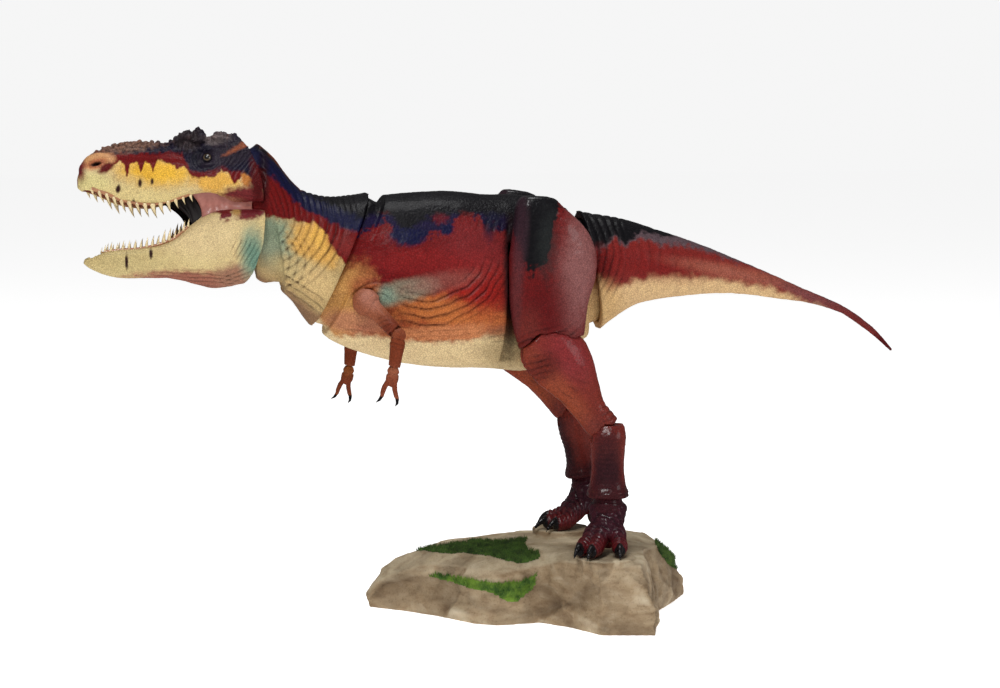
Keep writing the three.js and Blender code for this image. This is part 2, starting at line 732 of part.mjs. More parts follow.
// The seats of the neck and the tail on the trunk
function jointAt(centre, tilt, heading, sizes, shares) {
  const shape = dome({
    tall: sizes.height * shares.tall,
    wide: sizes.width * shares.wide,
    deep: sizes.height * shares.deep,
    rimShare: shares.rim,
    flatShare: shares.flat,
  });
  return { shape, centre, frame: domeFrame(centre, tilt, heading) };
}
const neckSize = { length: neckLength, height: neckHeight, width: neckWidth };
const headSize = { length: headLength, height: headHeight, width: headWidth };
const tailSize = { length: tailLength, height: tailHeight, width: tailWidth };
const spot = (length, height, shares) => vector(-length * shares.ahead, 0, height * shares.up);
const neckCentre = spot(trunkLength, trunkHeight, neckSeatShares);
const tailCentre = spot(trunkLength, trunkHeight, tailSeatShares);
const headCentre = spot(neckLength, neckHeight, headSeatShares);
const neckJoint = jointAt(neckCentre, neckTilt, -1, neckSize, neckDomeShares);
const tailJoint = jointAt(tailCentre, tailTilt, 1, tailSize, tailDomeShares);
const headJoint = jointAt(headCentre, headTilt, -1, headSize, headDomeShares);
const local = (joint) => joint.frame.clone().setPosition(0, 0, 0);

// Legs
function legParts(pose) {
  const { side } = pose;
  const hipY = side * (hipInset + hipFaceGap + thighWidth / 2);
  const turn = new THREE.Euler(0, radians(pose.thigh), 0);
  const hip = seat(vector(0, hipY, 0), turn);
  const thighSize = { length: thighLength, depth: thighDepth, width: thighWidth };
  const shinSize = { length: shinLength, depth: shinDepth, width: thighWidth };
  const peg = sidePeg(hipPegSize, side);
  const knee = hinge(kneeSize);
  const hock = hinge(hockSize);
  const ankle = hinge(ankleSize);
  const kneeSeat = seat(vector(0, 0, -thighLength), new THREE.Euler(0, radians(pose.knee), 0));
  const hockSeat = seat(vector(0, 0, -shinLength), new THREE.Euler(0, radians(pose.hock), 0));
  const twist = -side * radians(pose.twist);
  const level = -radians(pose.thigh + pose.knee + pose.hock);
  const ankleSeat = seat(vector(0, 0, -metatarsusLength), new THREE.Euler(0, level, twist, 'ZYX'));
  const calf = limbSkin(shinShares, shinSize, limbSides);
  const metatarsusSize = { length: metatarsusLength, depth: metatarsusDepth, width: metatarsusWidth };
  const twisted = (body) => moved(body, new THREE.Matrix4().makeRotationZ(twist));
  const cannon = twisted(limbSkin(metatarsusShares, metatarsusSize, limbSides));
  const calfRoom = limbSkin(shinShares, shinSize, limbSides, knuckleGap);
  const cannonRoom = twisted(limbSkin(metatarsusShares, metatarsusSize, limbSides, knuckleGap));
  const kneeSweeps = sweptRoom(calfRoom, kneeSeat, [0, -kneeRoom / 2, -kneeRoom]);
  const hockSweeps = sweptRoom(cannonRoom, hockSeat, [0, hockRoom / 2, hockRoom]);
  const knuckleIn = (joint, parent) => moved(joint.room, parent.matrix);
  const tongueAt = (joint, length) => moved(cut(joint.tongue, [joint.bore]), translation(0, 0, -length));
  const thighBody = cut(limbSkin(thighShares, thighSize, limbSides), [knuckleIn(knee, kneeSeat), ...kneeSweeps]);
  const thigh = joined([thighBody, tongueAt(knee, thighLength)]).subtract(peg.limbRoom);
  const lower = (body, joint) => cut(joined([body, joint.head]), [joint.slot, joint.bore]);
  const shinBody = cut(lower(calf, knee), [knuckleIn(hock, hockSeat), ...hockSweeps]);
  const shin = joined([shinBody, tongueAt(hock, shinLength)]);
  const metatarsusBody = cut(lower(cannon, hock), [knuckleIn(ankle, ankleSeat)]);
  const ankleTurn = translation(0, 0, -metatarsusLength).multiply(new THREE.Matrix4().makeRotationZ(twist));
  const metatarsus = joined([metatarsusBody, moved(cut(ankle.tongue, [ankle.bore]), ankleTurn)]);
  const foot = lower(footSolid(side), ankle);
  const grown = limbSkin(thighShares, thighSize, limbSides, domeGap);
  return {
    side, hip, kneeSeat, hockSeat, ankleSeat, peg, frame: hip.matrix, thigh: grown,
    solids: { hip_peg: peg.peg, hip_pin: peg.pin, thigh, knee_pin: knee.pin, shin, hock_pin: hock.pin,
      metatarsus, ankle_pin: ankle.pin, foot },
  };
}
const kneeSize = { radius: 13, half: 8.6, above: 7, sides: limbSides };
const hockSize = { radius: 9.5, half: 8, above: 3, sides: limbSides };
const ankleSize = { radius: 8.6, half: 8.2, above: 0, sides: limbSides };
const hipPegSize = { radius: 6.5, reach: 12, depth: 16, pin: 12, swing: 7 };
const shoulderPegSize = { radius: 3.6, reach: 6.5, depth: 10, pin: 5.6, swing: 13 };

// A lower piece at steps through the swing of its joint, in the frame of the upper piece
function sweptRoom(body, joint, angles) {
  return angles.map((angle) => {
    return moved(body, joint.matrix.clone().multiply(new THREE.Matrix4().makeRotationY(radians(angle))));
  });
}

function translation(x, y, z) {
  return new THREE.Matrix4().makeTranslation(x, y, z);
}

// A foot with three spread toes, toes towards -X and the sole level
function footSolid(side) {
  const sole = -ankleHeight;
  const instepHalves = vector(footLength * instepShares.long, toeRadius * instepShares.wide,
    ankleHeight * instepShares.tall);
  const instepAt = vector(-footLength * instepShares.ahead, 0, sole * instepShares.down);
  const instep = ellipsoid(instepHalves, instepAt, limbSides);
  const toes = toeShares.map(({ turn, long, out }) => {
    const frame = new THREE.Matrix4().makeRotationZ(-side * radians(turn));
    frame.setPosition(0, side * toeRadius * out, 0);
    return moved(toeSolid(footLength * long, sole), frame);
  });
  const low = footLength + ankleHeight;
  const ground = box(vector(-low, -low, sole - low), vector(low, low, sole));
  return joined([instep, ...toes]).subtract(ground);
}
const instepShares = { long: 0.33, wide: 1.5, tall: 0.42, ahead: 0.1, down: 0.5 };
const toeShares = [
  { turn: 0, long: 1, out: 0 },
  { turn: 20, long: 0.84, out: -0.7 },
  { turn: -20, long: 0.86, out: 0.7 },
];

// A toe with its claw, from below the ankle to its tip
function toeSolid(length, sole) {
  const points = toeLineShares.map(([ahead, down]) => vector(-length * ahead, 0, sole * down));
  const halves = toeLineShares.map(([, , tall, wide]) => [toeRadius * tall, toeRadius * wide]);
  const claw = clawLineShares.map(([ahead, down]) => {
    return vector(-length * clawStartShare - clawLength * ahead, 0, sole - clawLength * down);
  });
  const clawHalves = clawLineShares.map(([, , thick]) => [clawRadius * thick, clawRadius * thick]);
  return joined([sweep(points, halves, smallSides), sweep(claw, clawHalves, clawSides)]);
}
const toeLineShares = [
  [0.02, 0.28, 0.9, 0.8],
  [0.2, 0.5, 1.0, 0.9],
  [0.4, 0.68, 0.85, 0.82],
  [0.6, 0.8, 0.75, 0.8],
  [0.78, 0.86, 0.66, 0.74],
  [0.9, 0.9, 0.45, 0.55],
];
const clawStartShare = 0.8;
const clawLineShares = [[0, -0.5, 1], [0.35, -0.5, 1], [0.7, -0.3, 0.75], [0.95, -0.02, 0.4], [1.02, 0.14, 0.12]];

// Arms
function armParts(pose) {
  const { side } = pose;
  const place = spot(trunkLength, trunkHeight, shoulderShares);
  place.y = side * shoulderSpread;
  const raise = side * radians(pose.raise);
  const shoulder = seat(place, new THREE.Euler(0, radians(pose.arm), 0));
  const raiseTurn = new THREE.Euler(raise, 0, 0);
  const arm = seat(vector(0, 0, 0), raiseTurn);
  const peg = sidePeg(shoulderPegSize, side);
  const elbowRoll = -raise * elbowRollShare;
  const elbowTurn = new THREE.Euler(elbowRoll, radians(pose.elbow), 0, 'XYZ');
  const elbowSeat = seat(vector(0, 0, -upperArmLength), elbowTurn);
  const wristSeat = seat(vector(0, 0, -forearmLength), new THREE.Euler(0, radians(pose.wrist), 0));
  const elbow = hinge(elbowSize);
  const wrist = hinge(wristSize);
  const size = (length) => ({ length, depth: armWidth, width: armWidth });
  const ball = ellipsoid(vector(shoulderRadius, shoulderRadius, shoulderRadius), vector(0, 0, 0), limbSides);
  const bone = joined([ball, limbSkin(upperArmShares, size(upperArmLength), armSides)]);
  const elbowFrame = translation(0, 0, -upperArmLength).multiply(new THREE.Matrix4().makeRotationX(elbowRoll));
  const upperBody = cut(bone, [moved(elbow.room, elbowSeat.matrix)]);
  const raiseFrame = new THREE.Matrix4().makeRotationX(raise).invert();
  const upper = joined([upperBody, moved(cut(elbow.tongue, [elbow.bore]), elbowFrame)]);
  const upperArm = upper.subtract(moved(peg.limbRoom, raiseFrame));
  const lower = (body, joint) => cut(joined([body, joint.head]), [joint.slot, joint.bore]);
  const foreBody = cut(lower(limbSkin(forearmShares, size(forearmLength), armSides), elbow),
    [moved(wrist.room, wristSeat.matrix)]);
  const wristTongue = moved(cut(wrist.tongue, [wrist.bore]), translation(0, 0, -forearmLength));
  const forearm = joined([foreBody, wristTongue]);
  const hand = lower(handSolid(side), wrist);
  const room = shoulderRadius + domeGap;
  const socket = ellipsoid(vector(room, room, room), vector(0, 0, 0), limbSides);
  return {
    side, shoulder, arm, elbowSeat, wristSeat, peg, frame: shoulder.matrix, socket,
    solids: { shoulder_peg: peg.peg, shoulder_pin: peg.pin, upper_arm: upperArm, elbow_pin: elbow.pin,
      forearm, wrist_pin: wrist.pin, hand },
  };
}
const elbowRollShare = 1.1;
const elbowSize = { radius: 5.6, half: 4.6, above: 0, sides: armSides };
const wristSize = { radius: 4.3, half: 3.8, above: 0, sides: armSides };

// A hand with two clawed fingers
function handSolid(side) {
  const palm = ellipsoid(vector(handLength * palmShares.deep, handLength * palmShares.wide,
    handLength * palmShares.long), vector(0, 0, -handLength * palmShares.down), palmSides);
  const fingers = fingerShares.map(({ lean, out, long }) => {
    const points = fingerLineShares.map(([down, ahead]) => {
      return vector(-handLength * (ahead * long + lean * down), side * handLength * out, -handLength * down * long);
    });
    const halves = fingerLineShares.map(([, , thick]) => [fingerRadius * thick, fingerRadius * thick]);
    return sweep(points, halves, clawSides);
  });
  return joined([palm, ...fingers]);
}
const palmShares = { deep: 0.2, wide: 0.15, long: 0.26, down: 0.2 };
const fingerShares = [{ lean: 0.28, out: -0.05, long: 0.96 }, { lean: -0.28, out: 0.06, long: 1 }];
const fingerLineShares = [[0.22, 0, 1], [0.5, 0.04, 1.05], [0.7, 0.02, 0.95], [0.76, 0, 0.8], [0.9, 0.02, 0.6],
  [1.0, 0.1, 0.14]];

// Head pieces, in the frame of the head before its turn and roll
const jawPivot = spot(headLength, headHeight, jawPivotShares);
function headShapes(headTurned) {
  const inHead = headTurned.clone().invert().multiply(local(headJoint));
  const hollow = moved(headJoint.shape.female, inHead);
  const shank = moved(headJoint.shape.knuckle.shank, inHead);
  const keep = rod(headRimRadius, vector(-headRimRadius - rimBack, -headWidth, 0),
    vector(-headRimRadius - rimBack, headWidth, 0), rimSides);
  const flat = { sides: headSides, steps: 1, topShare: 0.8, lowShare: 0.45 };
  const cheek = { sides: headSides, steps: 1, topShare: 0.45, lowShare: 0.8 };
  const skullWhole = chordSkin(skullShares, headSize, flat).intersect(keep);
  const jawWhole = chordSkin(jawShares, headSize, cheek).intersect(keep);
  const blockHalf = jawBlockWidth / 2;
  const across = (y) => vector(jawPivot.x, y, jawPivot.z);
  const blockDisc = rod(jawBlockRadius, across(-blockHalf), across(blockHalf), ballSides);
  const blockTop = box(vector(jawPivot.x - jawBlockRadius, -blockHalf, jawPivot.z),
    vector(jawPivot.x + jawBlockRadius, blockHalf, jawPivot.z + jawBlockRadius * blockTopShare));
  const roomHalf = blockHalf + knuckleGap;
  const roomRadius = jawBlockRadius + domeGap;
  const blockRoom = rod(roomRadius, across(-roomHalf), across(roomHalf), ballSides);
  const behindRoom = box(vector(jawPivot.x, -roomHalf, jawPivot.z - roomRadius),
    vector(headLength, roomHalf, jawPivot.z + headHeight));
  const aboveRoom = box(vector(jawPivot.x - roomRadius, -roomHalf, jawPivot.z),
    vector(jawPivot.x, roomHalf, jawPivot.z + headHeight));
  const bore = rod(jawPinRadius + pinGap, across(-headWidth), across(headWidth));
  const pinHalf = jawBlockWidth * jawPinShare;
  const pinRoom = rod(jawPinRadius + pinGap, across(-pinHalf - faceGap), across(pinHalf + faceGap));
  const pin = rod(jawPinRadius, across(-pinHalf), across(pinHalf));
  const palate = chordSkin(hollowRows(skullShares.slice(3, 12), palateShares, 1), headSize, flat);
  const mouthFloor = chordSkin(hollowRows(jawShares.slice(4, 12), floorShares, -1), headSize, cheek);
  const horns = [-1, 1].flatMap((side) => hornSolids(side));
  const skullSolid = cut(joined([skullWhole, ...horns]), [palate, hollow]);
  const skull = joined([skullSolid, cut(joined([blockDisc, blockTop]), [hollow]), shank]).subtract(bore);
  const jaw = cut(jawWhole, [hollow, blockRoom, behindRoom, aboveRoom, mouthFloor, pinRoom]);
  return { skull: skull.subtract(roomAboveJaw()), jaw, pin };
}
const rimBack = 8;
const jawPinShare = 0.8;
const blockTopShare = 1.6;
const palateShares = { rise: 0.42, drop: 0.5, wide: 0.76 };
const floorShares = { rise: 0.36, drop: 0.5, wide: 0.74 };

// The skull's underside over the cheeks of the jaw
function roomAboveJaw() {
  const low = jawPivot.z + headHeight * cheekTopShare;
  const rear = box(vector(jawPivot.x - headHeight, -headWidth, low - headHeight),
    vector(0, -jawBlockWidth / 2, low));
  const mirror = box(vector(jawPivot.x - headHeight, jawBlockWidth / 2, low - headHeight),
    vector(0, headWidth, low));
  return joined([rear, mirror]);
}
const cheekTopShare = 0.14;

// Rows of a hollow inside a chord body, opening past its bottom (1) or its top (-1)
function hollowRows(rows, shares, way) {
  return rows.map(([topAhead, topUp, lowAhead, lowUp, half]) => {
    const tall = topUp - lowUp;
    const top = way > 0 ? lowUp + tall * shares.rise : topUp + tall * shares.drop;
    const low = way > 0 ? lowUp - tall * shares.drop : topUp - tall * shares.rise;
    return [topAhead, top, lowAhead, low, half * shares.wide, 0];
  });
}

// A brow horn and the boss behind it
function hornSolids(side) {
  const base = vector(-headLength * hornShares.ahead, side * headWidth * hornShares.out, headHeight * hornShares.up);
  const points = hornLineShares.map(([back, up]) => {
    return base.clone().add(vector(-hornLength * back, side * hornLength * back, hornLength * up));
  });
  const halves = hornLineShares.map(([, , thick]) => [hornRadius * thick, hornRadius * thick]);
  const boss = base.clone().add(vector(bossLength, 0, 0));
  return [sweep(points, halves, smallSides), ellipsoid(vector(bossLength / 2, bossWidth, bossHeight), boss, armSides)];
}
const hornShares = { ahead: 0.375, out: 0.2, up: 0.92 };
const hornLineShares = [[0, -0.3, 1.5], [0, 0.2, 1.2], [0.1, 0.6, 0.8], [0.2, 1, 0.25]];

// A gum strip with its teeth, round one jaw
function teethSolid(rows, hollow, way, perSide) {
  const line = rows.map(([topAhead, topUp, lowAhead, lowUp, half]) => {
    const edgeUp = way < 0 ? lowUp : topUp;
    const edgeAhead = way < 0 ? lowAhead : topAhead;
    const out = headWidth * half * hollow.wide - gumWidth / 2 - gumInset;
    return { x: -headLength * edgeAhead, y: out, z: headHeight * edgeUp - way * gumHeight * gumSinkShare };
  });
  const right = line.map(({ x, y, z }) => vector(x, y, z));
  const left = line.map(({ x, y, z }) => vector(x, -y, z)).reverse();
  const path = [...right, ...left];
  const strip = sweep(path, path.map(() => [gumHeight / 2, gumWidth / 2]), gumSides);
  const teeth = [right, left].flatMap((points) => toothRow(points, way, perSide));
  return joined([strip, ...teeth]);
}
const gumSinkShare = 0.2;

// Teeth at even steps along a line of points
function toothRow(points, way, count) {
  const curve = new THREE.CatmullRomCurve3(points);
  const teeth = [];
  for (let i = 0; i < count; i += 1) {
    const at = curve.getPointAt((i + 0.5) / count);
    const length = toothLength * toothLengthShares[i % toothLengthShares.length];
    const tooth = new THREE.ConeGeometry(toothRadius, length, toothSides);
    tooth.rotateX(way * Math.PI / 2);
    tooth.translate(at.x, at.y, at.z + way * (length / 2 + gumHeight * gumSinkShare));
    teeth.push(toSolid(tooth));
  }
  return teeth;
}
const toothLengthShares = [0.8, 1.1, 0.9, 1.2, 1];

function tongueSolid() {
  const points = tongueLineShares.map(([ahead, up]) => {
    return vector(jawPivot.x - tongueLength * ahead, 0, jawPivot.z + tongueLength * up);
  });
  const halves = tongueLineShares.map(([, , thick, wide]) => [tongueThickness / 2 * thick, tongueWidth / 2 * wide]);
  return sweep(points, halves, armSides);
}
const tongueLineShares = [
  [0.38, -0.215, 0.8, 0.9],
  [0.6, -0.33, 1, 1],
  [0.9, -0.39, 1, 1],
  [1.2, -0.415, 0.8, 0.9],
  [1.32, -0.41, 0.4, 0.5],
];

// Build the figure
const spigotDropShare = 0.2;
const legs = [legParts(poses.left), legParts(poses.right)];
const arms = [armParts(poses.left), armParts(poses.right)];
const trunk = trunkSolid(neckJoint, tailJoint, legs, arms);
const wide = trunkLength + trunkHeight;
const seamX = -bellySeamAhead;
const frontHalf = box(vector(-wide, -wide, -wide), vector(seamX - faceGap / 2, wide, wide));
const rearHalf = box(vector(seamX + faceGap / 2, -wide, -wide), vector(wide, wide, wide));
const spigotUp = -trunkHeight * spigotDropShare;
const spigot = rod(spigotRadius, vector(seamX - spigotLength, 0, spigotUp),
  vector(seamX + spigotLength, 0, spigotUp), ballSides);
const spigotBore = rod(spigotRadius + faceGap, vector(seamX - spigotLength - faceGap, 0, spigotUp),
  vector(seamX, 0, spigotUp), ballSides);
hips.add(mesh('torso', trunk.intersect(frontHalf).subtract(spigotBore), paints.back));
hips.add(mesh('pelvis', joined([trunk.intersect(rearHalf), spigot]), paints.back));

// Neck
const neckSeat = seat(neckJoint.centre);
neckSeat.name = 'neck_joint';
hips.add(neckSeat);
const neckHere = local(neckJoint);
const neckWhole = chordSkin(neckShares, neckSize, { ...blunt, sides: neckSides });
const neckCuts = [moved(neckJoint.shape.behind, neckHere), moved(neckJoint.shape.female, neckHere),
  moved(headJoint.shape.ahead, headJoint.frame)];
const neckFront = moved(headJoint.shape.male, headJoint.frame);
const neckRoom = moved(headJoint.shape.knuckle.room, headJoint.frame);
const neckBody = joined([cut(neckWhole, neckCuts), neckFront]).subtract(neckRoom);
neckSeat.add(mesh('neck', joined([neckBody, moved(neckJoint.shape.knuckle.shank, neckHere)]), paints.neck));
neckSeat.add(mesh('neck_ball', moved(neckJoint.shape.knuckle.ball, neckHere), paints.plastic));
neckSeat.add(mesh('neck_pin', moved(neckJoint.shape.knuckle.pin, neckHere), paints.steel));

// Head
const headSeat = seat(headJoint.centre);
headSeat.name = 'head_joint';
neckSeat.add(headSeat);
const headHere = local(headJoint);
const headPose = seat(vector(0, 0, 0), new THREE.Euler(headRoll, 0, headTurn, 'ZYX'));
headPose.name = 'head_pose';
headSeat.add(headPose);
const head = headShapes(headPose.matrix);
headSeat.add(mesh('head_ball', moved(headJoint.shape.knuckle.ball, headHere), paints.plastic));
headSeat.add(mesh('head_pin', moved(headJoint.shape.knuckle.pin, headHere), paints.steel));
headPose.add(mesh('skull', head.skull, paints.head));
const upperTeeth = teethSolid(skullShares.slice(4, 11), palateShares, -1, upperTeethPerSide);
headPose.add(mesh('upper_teeth', upperTeeth, paints.teeth));
const jawSeat = seat(jawPivot);
jawSeat.name = 'jaw_joint';
headPose.add(jawSeat);
const toJaw = translation(-jawPivot.x, -jawPivot.y, -jawPivot.z);
jawSeat.add(mesh('lower_jaw', moved(head.jaw, toJaw), paints.jaw));
jawSeat.add(mesh('jaw_pin', moved(head.pin, toJaw), paints.steel));
const lowerTeeth = teethSolid(jawShares.slice(5, 11), floorShares, 1, lowerTeethPerSide);
jawSeat.add(mesh('lower_teeth', moved(lowerTeeth, toJaw), paints.teeth));
jawSeat.add(mesh('tongue', moved(tongueSolid(), toJaw), paints.tongue));

// Tail
const tailSeat = seat(tailJoint.centre);
tailSeat.name = 'tail_joint';
hips.add(tailSeat);
const tailHere = local(tailJoint);
const tailWhole = chordSkin(tailShares, tailSize, { ...blunt, sides: neckSides, steps: 1 });
const wireStart = tailJoint.shape.deepAt + faceGap;
const wireEnd = wireStart + tailWireLength;
const wire = rod(tailWireRadius, vector(wireStart, 0, tailWireRise), vector(wireEnd, 0, tailWireRise));
const wireBore = rod(tailWireRadius + faceGap, vector(0, 0, tailWireRise), vector(wireEnd + faceGap, 0, tailWireRise));
const tailCuts = [tailJoint.shape.behind, tailJoint.shape.female, wireBore].map((cutter) => moved(cutter, tailHere));
const tailBody = cut(tailWhole, tailCuts);
tailSeat.add(mesh('tail', joined([tailBody, moved(tailJoint.shape.knuckle.shank, tailHere)]), paints.back));
tailSeat.add(mesh('tail_ball', moved(tailJoint.shape.knuckle.ball, tailHere), paints.plastic));
tailSeat.add(mesh('tail_pin', moved(tailJoint.shape.knuckle.pin, tailHere), paints.steel));
tailSeat.add(mesh('tail_wire', moved(wire, tailHere), paints.steel));

// Legs and arms
const sideNames = ['left', 'right'];
const padAheadShare = 0.5;
const pads = [];
legs.forEach((leg, k) => {
  const name = (piece) => `${sideNames[k]}_${piece}`;
  const groups = [leg.hip, leg.kneeSeat, leg.hockSeat, leg.ankleSeat];
  const carried = [['hip_peg', 'hip_pin', 'thigh'], ['knee_pin', 'shin'], ['hock_pin', 'metatarsus'],
    ['ankle_pin', 'foot']];
  groups.forEach((group, i) => {
    group.name = name(['hip_joint', 'knee_joint', 'hock_joint', 'ankle_joint'][i]);
    (i === 0 ? hips : groups[i - 1]).add(group);
    carried[i].forEach((piece) => group.add(mesh(name(piece), leg.solids[piece], legPaint(piece))));
  });
  figure.updateMatrixWorld(true);
  const soleAt = vector(-footLength * padAheadShare, 0, -ankleHeight).applyMatrix4(leg.ankleSeat.matrixWorld);
  const padFoot = vector(soleAt.x, soleAt.y, rockHeight / 2);
  pads.push(rod(padRadius, padFoot, vector(soleAt.x, soleAt.y, soleAt.z - faceGap), limbSides));
});
function legPaint(piece) {
  return piece.endsWith('pin') ? paints.steel : piece.endsWith('peg') ? paints.plastic : paints.limb;
}
arms.forEach((arm, k) => {
  const name = (piece) => `${sideNames[k]}_${piece}`;
  const groups = [arm.shoulder, arm.arm, arm.elbowSeat, arm.wristSeat];
  const carried = [['shoulder_peg'], ['shoulder_pin', 'upper_arm'], ['elbow_pin', 'forearm'], ['wrist_pin', 'hand']];
  groups.forEach((group, i) => {
    group.name = name(['shoulder_joint', 'arm_joint', 'elbow_joint', 'wrist_joint'][i]);
    (i === 0 ? hips : groups[i - 1]).add(group);
    carried[i].forEach((piece) => group.add(mesh(name(piece), arm.solids[piece], armPaint(piece))));
  });
});
function armPaint(piece) {
  return piece.endsWith('pin') ? paints.steel : piece.endsWith('peg') ? paints.plastic : paints.arm;
}
// Rock and moss
const rock = rockSolid(pads);
figure.add(mesh('rock_base', rock, paints.rock));
Object.entries(mossShares).forEach(([place, outline]) => {
  figure.add(mesh(`moss_${place}`, mossSolid(rock, outline), paints.moss));
});

export default figure;
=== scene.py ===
"""Dresses the jointed dinosaur figure: sculpted hide, paint, teeth, claws, eyes, rock and moss."""

import itertools
import json
import logging
import math
from dataclasses import dataclass, field
from enum import Enum

import bmesh
import bpy
import numpy as np
from mathutils import Euler, Matrix, Vector
from mathutils.bvhtree import BVHTree


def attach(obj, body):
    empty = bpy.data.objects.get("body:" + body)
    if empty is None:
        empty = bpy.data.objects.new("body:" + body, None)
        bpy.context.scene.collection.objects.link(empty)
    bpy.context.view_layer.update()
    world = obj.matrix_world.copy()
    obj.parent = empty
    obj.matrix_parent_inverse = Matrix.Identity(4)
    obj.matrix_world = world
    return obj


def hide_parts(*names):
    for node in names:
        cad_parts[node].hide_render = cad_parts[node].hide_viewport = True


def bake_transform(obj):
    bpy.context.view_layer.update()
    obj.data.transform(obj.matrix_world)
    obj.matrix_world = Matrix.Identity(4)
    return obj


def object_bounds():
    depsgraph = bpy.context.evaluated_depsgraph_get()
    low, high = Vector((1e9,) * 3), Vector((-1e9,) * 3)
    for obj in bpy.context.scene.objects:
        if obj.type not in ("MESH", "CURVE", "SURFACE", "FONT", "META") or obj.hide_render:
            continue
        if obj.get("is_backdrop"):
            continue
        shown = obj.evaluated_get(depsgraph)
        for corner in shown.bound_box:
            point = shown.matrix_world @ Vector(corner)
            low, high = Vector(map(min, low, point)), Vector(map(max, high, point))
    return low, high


LOG = logging.getLogger("figure")
MM = 0.001
PICTURE_WIDTH = 1000
PICTURE_HEIGHT = 688
SENSOR_WIDTH = 36.0
WELD_DISTANCE = 0.002 * MM
Colour = tuple[float, float, float]
Points = np.ndarray


def paint(red: int, green: int, blue: int) -> Colour:
    """Turns a paint's screen colour into a scene colour.

    Args:
        red: Red from 0 to 255.
        green: Green from 0 to 255.
        blue: Blue from 0 to 255.

    Returns:
        The linear colour.
    """
    values = []
    for level in (red, green, blue):
        share = level / 255
        values.append(share / 12.92 if share <= 0.04045 else ((share + 0.055) / 1.055) ** 2.4)
    return values[0], values[1], values[2]


class Grain:
    """Repeatable noise over whole arrays of points."""

    TABLE = 256
    GAIN = 1.7
    LAYER_STEP = 0.37
    LAYER_TOTAL = 1.5
    GAP_GAIN = 2.2
    LEDGE = 0.14
    FAR = 9.0

    def __init__(self, seed: int) -> None:
        """Prepares the tables of one seed.

        Args:
            seed: The seed of the noise.
        """
        random = np.random.default_rng(seed)
        self.table = random.permutation(self.TABLE)
        slopes = random.normal(size=(self.TABLE, 3))
        self.slopes = slopes / np.linalg.norm(slopes, axis=1)[:, None]
        self.spots = random.random((self.TABLE, 3))

    def _pick(self, cells: Points) -> Points:
        """Gives each cell a repeatable number below the table's length."""
        last = self.TABLE - 1
        x, y, z = (cells & last).T
        return self.table[(self.table[(self.table[x] + y) & last] + z) & last]

    @staticmethod
    def _cells(points: Points, size: float) -> tuple[Points, Points]:
        """Gives the points in units of a size, and the whole cell of each."""
        scaled = points / size
        return scaled, np.floor(scaled).astype(np.int64)

    def smooth(self, points: Points, size: float) -> Points:
        """Smooth noise from about -1 to 1.

        Args:
            points: The points, in metres.
            size: The size of a lump, in metres.

        Returns:
            One value for each point.
        """
        scaled, cell = self._cells(points, size)
        inside = scaled - cell
        ease = inside**3 * (inside * (inside * 6 - 15) + 10)
        total = np.zeros(len(points))
        for corner in itertools.product((0, 1), repeat=3):
            step = np.array(corner)
            slope = self.slopes[self._pick(cell + step)]
            near = np.where(step == 1, ease, 1 - ease).prod(axis=1)
            total += ((inside - step) * slope).sum(axis=1) * near
        return total * self.GAIN

    def layered(self, points: Points, size: float, layers: int = 3) -> Points:
        """Noise with finer noise on it.

        Args:
            points: The points, in metres.
            size: The size of the largest lump, in metres.
            layers: How many sizes are added up.

        Returns:
            One value for each point, from about -1 to 1.
        """
        total = np.zeros(len(points))
        for layer in range(layers):
            total += self.smooth(points + layer * self.LAYER_STEP, size / 2**layer) / 2**layer
        return total / self.LAYER_TOTAL

    def pebbles(self, points: Points, size: float) -> Points:
        """Round pebbles with narrow gaps.

        Args:
            points: The points, in metres.
            size: The size of a pebble, in metres.

        Returns:
            One height for each point: 1 on a pebble's top and 0 in a gap.
        """
        scaled, cell = self._cells(points, size)
        first = np.full(len(points), self.FAR)
        second = np.full(len(points), self.FAR)
        for step in itertools.product((-1, 0, 1), repeat=3):
            there = cell + np.array(step)
            away = np.linalg.norm(there + self.spots[self._pick(there)] - scaled, axis=1)
            second = np.minimum(second, np.maximum(first, away))
            first = np.minimum(first, away)
        return np.clip((second - first) * self.GAP_GAIN, 0, 1)

    def chips(self, points: Points, size: float) -> tuple[Points, Points]:
        """Flat chiselled faces with ledges between them.

        Args:
            points: The points, in metres.
            size: The size of a face, in metres.

        Returns:
            The height of each point as a share of the size, and how near it is to a ledge.
        """
        scaled, cell = self._cells(points, size)
        first = np.full(len(points), self.FAR)
        second = np.full(len(points), self.FAR)
        lift = np.zeros(len(points))
        spare = np.zeros(len(points))
        for step in itertools.product((-1, 0, 1), repeat=3):
            there = cell + np.array(step)
            pick = self._pick(there)
            offset = scaled - there - self.spots[pick]
            away = np.linalg.norm(offset, axis=1)
            height = (offset * self.slopes[pick]).sum(axis=1)
            nearer = away < first
            between = ~nearer & (away < second)
            spare = np.where(nearer, lift, np.where(between, height, spare))
            second = np.where(nearer, first, np.where(between, away, second))
            lift = np.where(nearer, height, lift)
            first = np.where(nearer, away, first)
        inside = ease(second - first, 0.0, self.LEDGE)
        share = inside * 0.5 + 0.5
        return lift * share + spare * (1 - share), 1 - inside


def ease(value: Points, low: float, high: float) -> Points:
    """Rises smoothly from 0 at low to 1 at high."""
    share = np.clip((value - low) / (high - low), 0, 1)
    return share * share * (3 - 2 * share)


